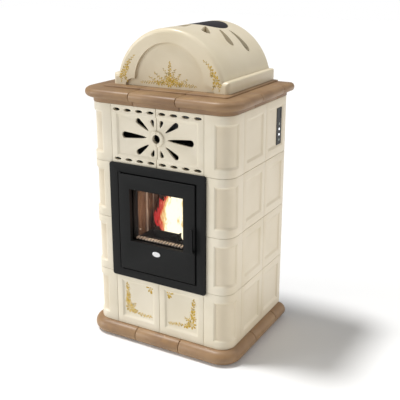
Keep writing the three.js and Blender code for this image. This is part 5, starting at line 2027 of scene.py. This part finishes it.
# %% Light of the fire
fire_lamp = hidden_lamp("fire_light", "POINT", 0.85, (0.0, -0.2, 0.53))
fire_lamp.data.color = (1.0, 0.84, 0.7)
fire_lamp.data.shadow_soft_size = 0.02
print("fire light:", fire_lamp.data.energy, "W")

# %% [markdown]
# Beside the burn pot the hearth is barred, so that ash falls through to the
# drawer. A comb of bare steel fingers lies before it, and a black sheet lines
# the mouth of the chamber. One bar and one finger are modelled and copied.

# %% Hearth bars, comb and mouth
hearth_z = 423
chamber_half = 115
chamber_back = -86
chamber_front = -199
rib = 3
pot_half = 58
comb_front = -221
comb_back = -203
comb_rise = 2
comb_pitch = 13

bar_width = 4
bar_height = 3
bar_pitch = 8.5
bar_round = 0.8
bar = slab(
    "hearth_bar",
    (0, chamber_front + 22, hearth_z),
    (bar_width, chamber_back - 4, hearth_z + bar_height),
)
soften(bar, bar_round, 50, 2)
bars = []
for side in (-1, 1):
    for number in range(6):
        x = side * (pot_half + 5 + bar_pitch * number) - (bar_width if side < 0 else 0)
        bars.append(copy_of(bar, "bar_copy", (x, 0, 0)))
bpy.data.objects.remove(bar)
finger = slab("finger", (-3, comb_front, hearth_z + 1), (3, comb_back, hearth_z + 7))
edit(finger)
pick("FACE", lambda spot, face: spot.y > comb_back - 0.1)
bpy.ops.transform.translate(value=(0, 0, comb_rise * mm))
done()
soften(finger, 1.2, 50, 2)
fingers = [
    copy_of(finger, "finger_copy", (number * comb_pitch, 0, 0))
    for number in range(-8, 9)
]
comb = joined("hearth_comb", fingers)
bpy.data.objects.remove(finger)
smooth(comb, 40)
fit(comb, bright_steel, "root", "hearth_iron")
mouth_front = -223
mouth_depth = 35
mouth_low, mouth_top = hearth_z + 1, 636
mouth_sheet = 1.5
mouth_inner = chamber_half - mouth_sheet
mouth_outline = [
    (-chamber_half, mouth_low),
    (-chamber_half, mouth_top),
    (chamber_half, mouth_top),
    (chamber_half, mouth_low),
    (mouth_inner, mouth_low),
    (mouth_inner, mouth_top - mouth_sheet),
    (-mouth_inner, mouth_top - mouth_sheet),
    (-mouth_inner, mouth_low),
]
mouth_frame = prism(
    "mouth_frame", [(x, mouth_front, z) for x, z in mouth_outline], y=mouth_depth
)
fit(mouth_frame, door_black, "root", "hearth_iron")
hearth_bars = joined("hearth_bars", bars)
smooth(hearth_bars, 40)
fit(hearth_bars, sooty_iron, "root", "hearth_iron")
print("hearth:", len(bars), "bars and", len(fingers), "fingers")

# %% [markdown]
# A cover strip hides the joint of the liner boards on each side, an angle
# holds their rear corner, and hexagon screws fasten both. The left side is
# modelled, and the right side is its mirrored copy.

# %% Liner strips and screws
liner_top = 640
strip_width = 10
strip_middle = -134.4
strip_face = chamber_half - rib - 1.5
strip_round = 0.8
strip = slab(
    "liner_strip",
    (-chamber_half, strip_middle - strip_width / 2, hearth_z + 1),
    (-strip_face, strip_middle + strip_width / 2, liner_top),
)
angle_iron = slab(
    "liner_angle",
    (-chamber_half, chamber_back - 4, hearth_z + 1),
    (-strip_face, chamber_back, liner_top),
)
screws = []
for y, z in ((-185, 450), (-185, 615), (-100, 615)):
    head = rod("screw", "x", (-strip_face - 1.5, y, z), 4, 6, 6)
    soften(head, strip_round, 30, 2)
    screws.append(head)
for piece in (strip, angle_iron):
    soften(piece, strip_round, 50, 2)
left_trim = joined("liner_trim_left", [strip, angle_iron, *screws])
smooth(left_trim, 40)
right_trim = copy_of(left_trim, "liner_trim_right", mirror=True)
for trim in (left_trim, right_trim):
    fit(trim, bright_steel, "root", "inner_steel")
print("liner:", 2 * len(screws), "screws")

# %% [markdown]
# Wood pellets are short pressed rods. One is modelled, and its copies are
# scattered in the pot, turned and tipped by chance, with the pile highest in
# the middle.

# %% Pellets glowing in the burn pot
pellet_radius = 3
pellet_length = 15
pile_half = 38
pile_depth = 12
pile_y = -150
pile_low = 433
pile_rise = 17
pellet = rod("pellet", "x", (0, 0, 0), pellet_radius, pellet_length, 8)
soften(pellet, 0.6, 50, 1)
pile = []
for number in range(70):
    spin = Matrix.Rotation(chance.uniform(0, math.pi), 4, "Z")
    tip_over = Matrix.Rotation(chance.uniform(-0.5, 0.5), 4, "Y")
    x = chance.uniform(-pile_half, pile_half)
    y = pile_y + chance.uniform(-pile_depth, pile_depth)
    z = pile_low + chance.uniform(0, pile_rise) * (1 - abs(x) / 70)
    pile.append(copy_of(pellet, "pellet_copy", (x, y, z), spin @ tip_over))
bpy.data.objects.remove(pellet)
embers = joined("glowing_pellets", pile)
fit(embers, ember_glow, "pot", "hearth_iron")
print("pellets:", len(pile))
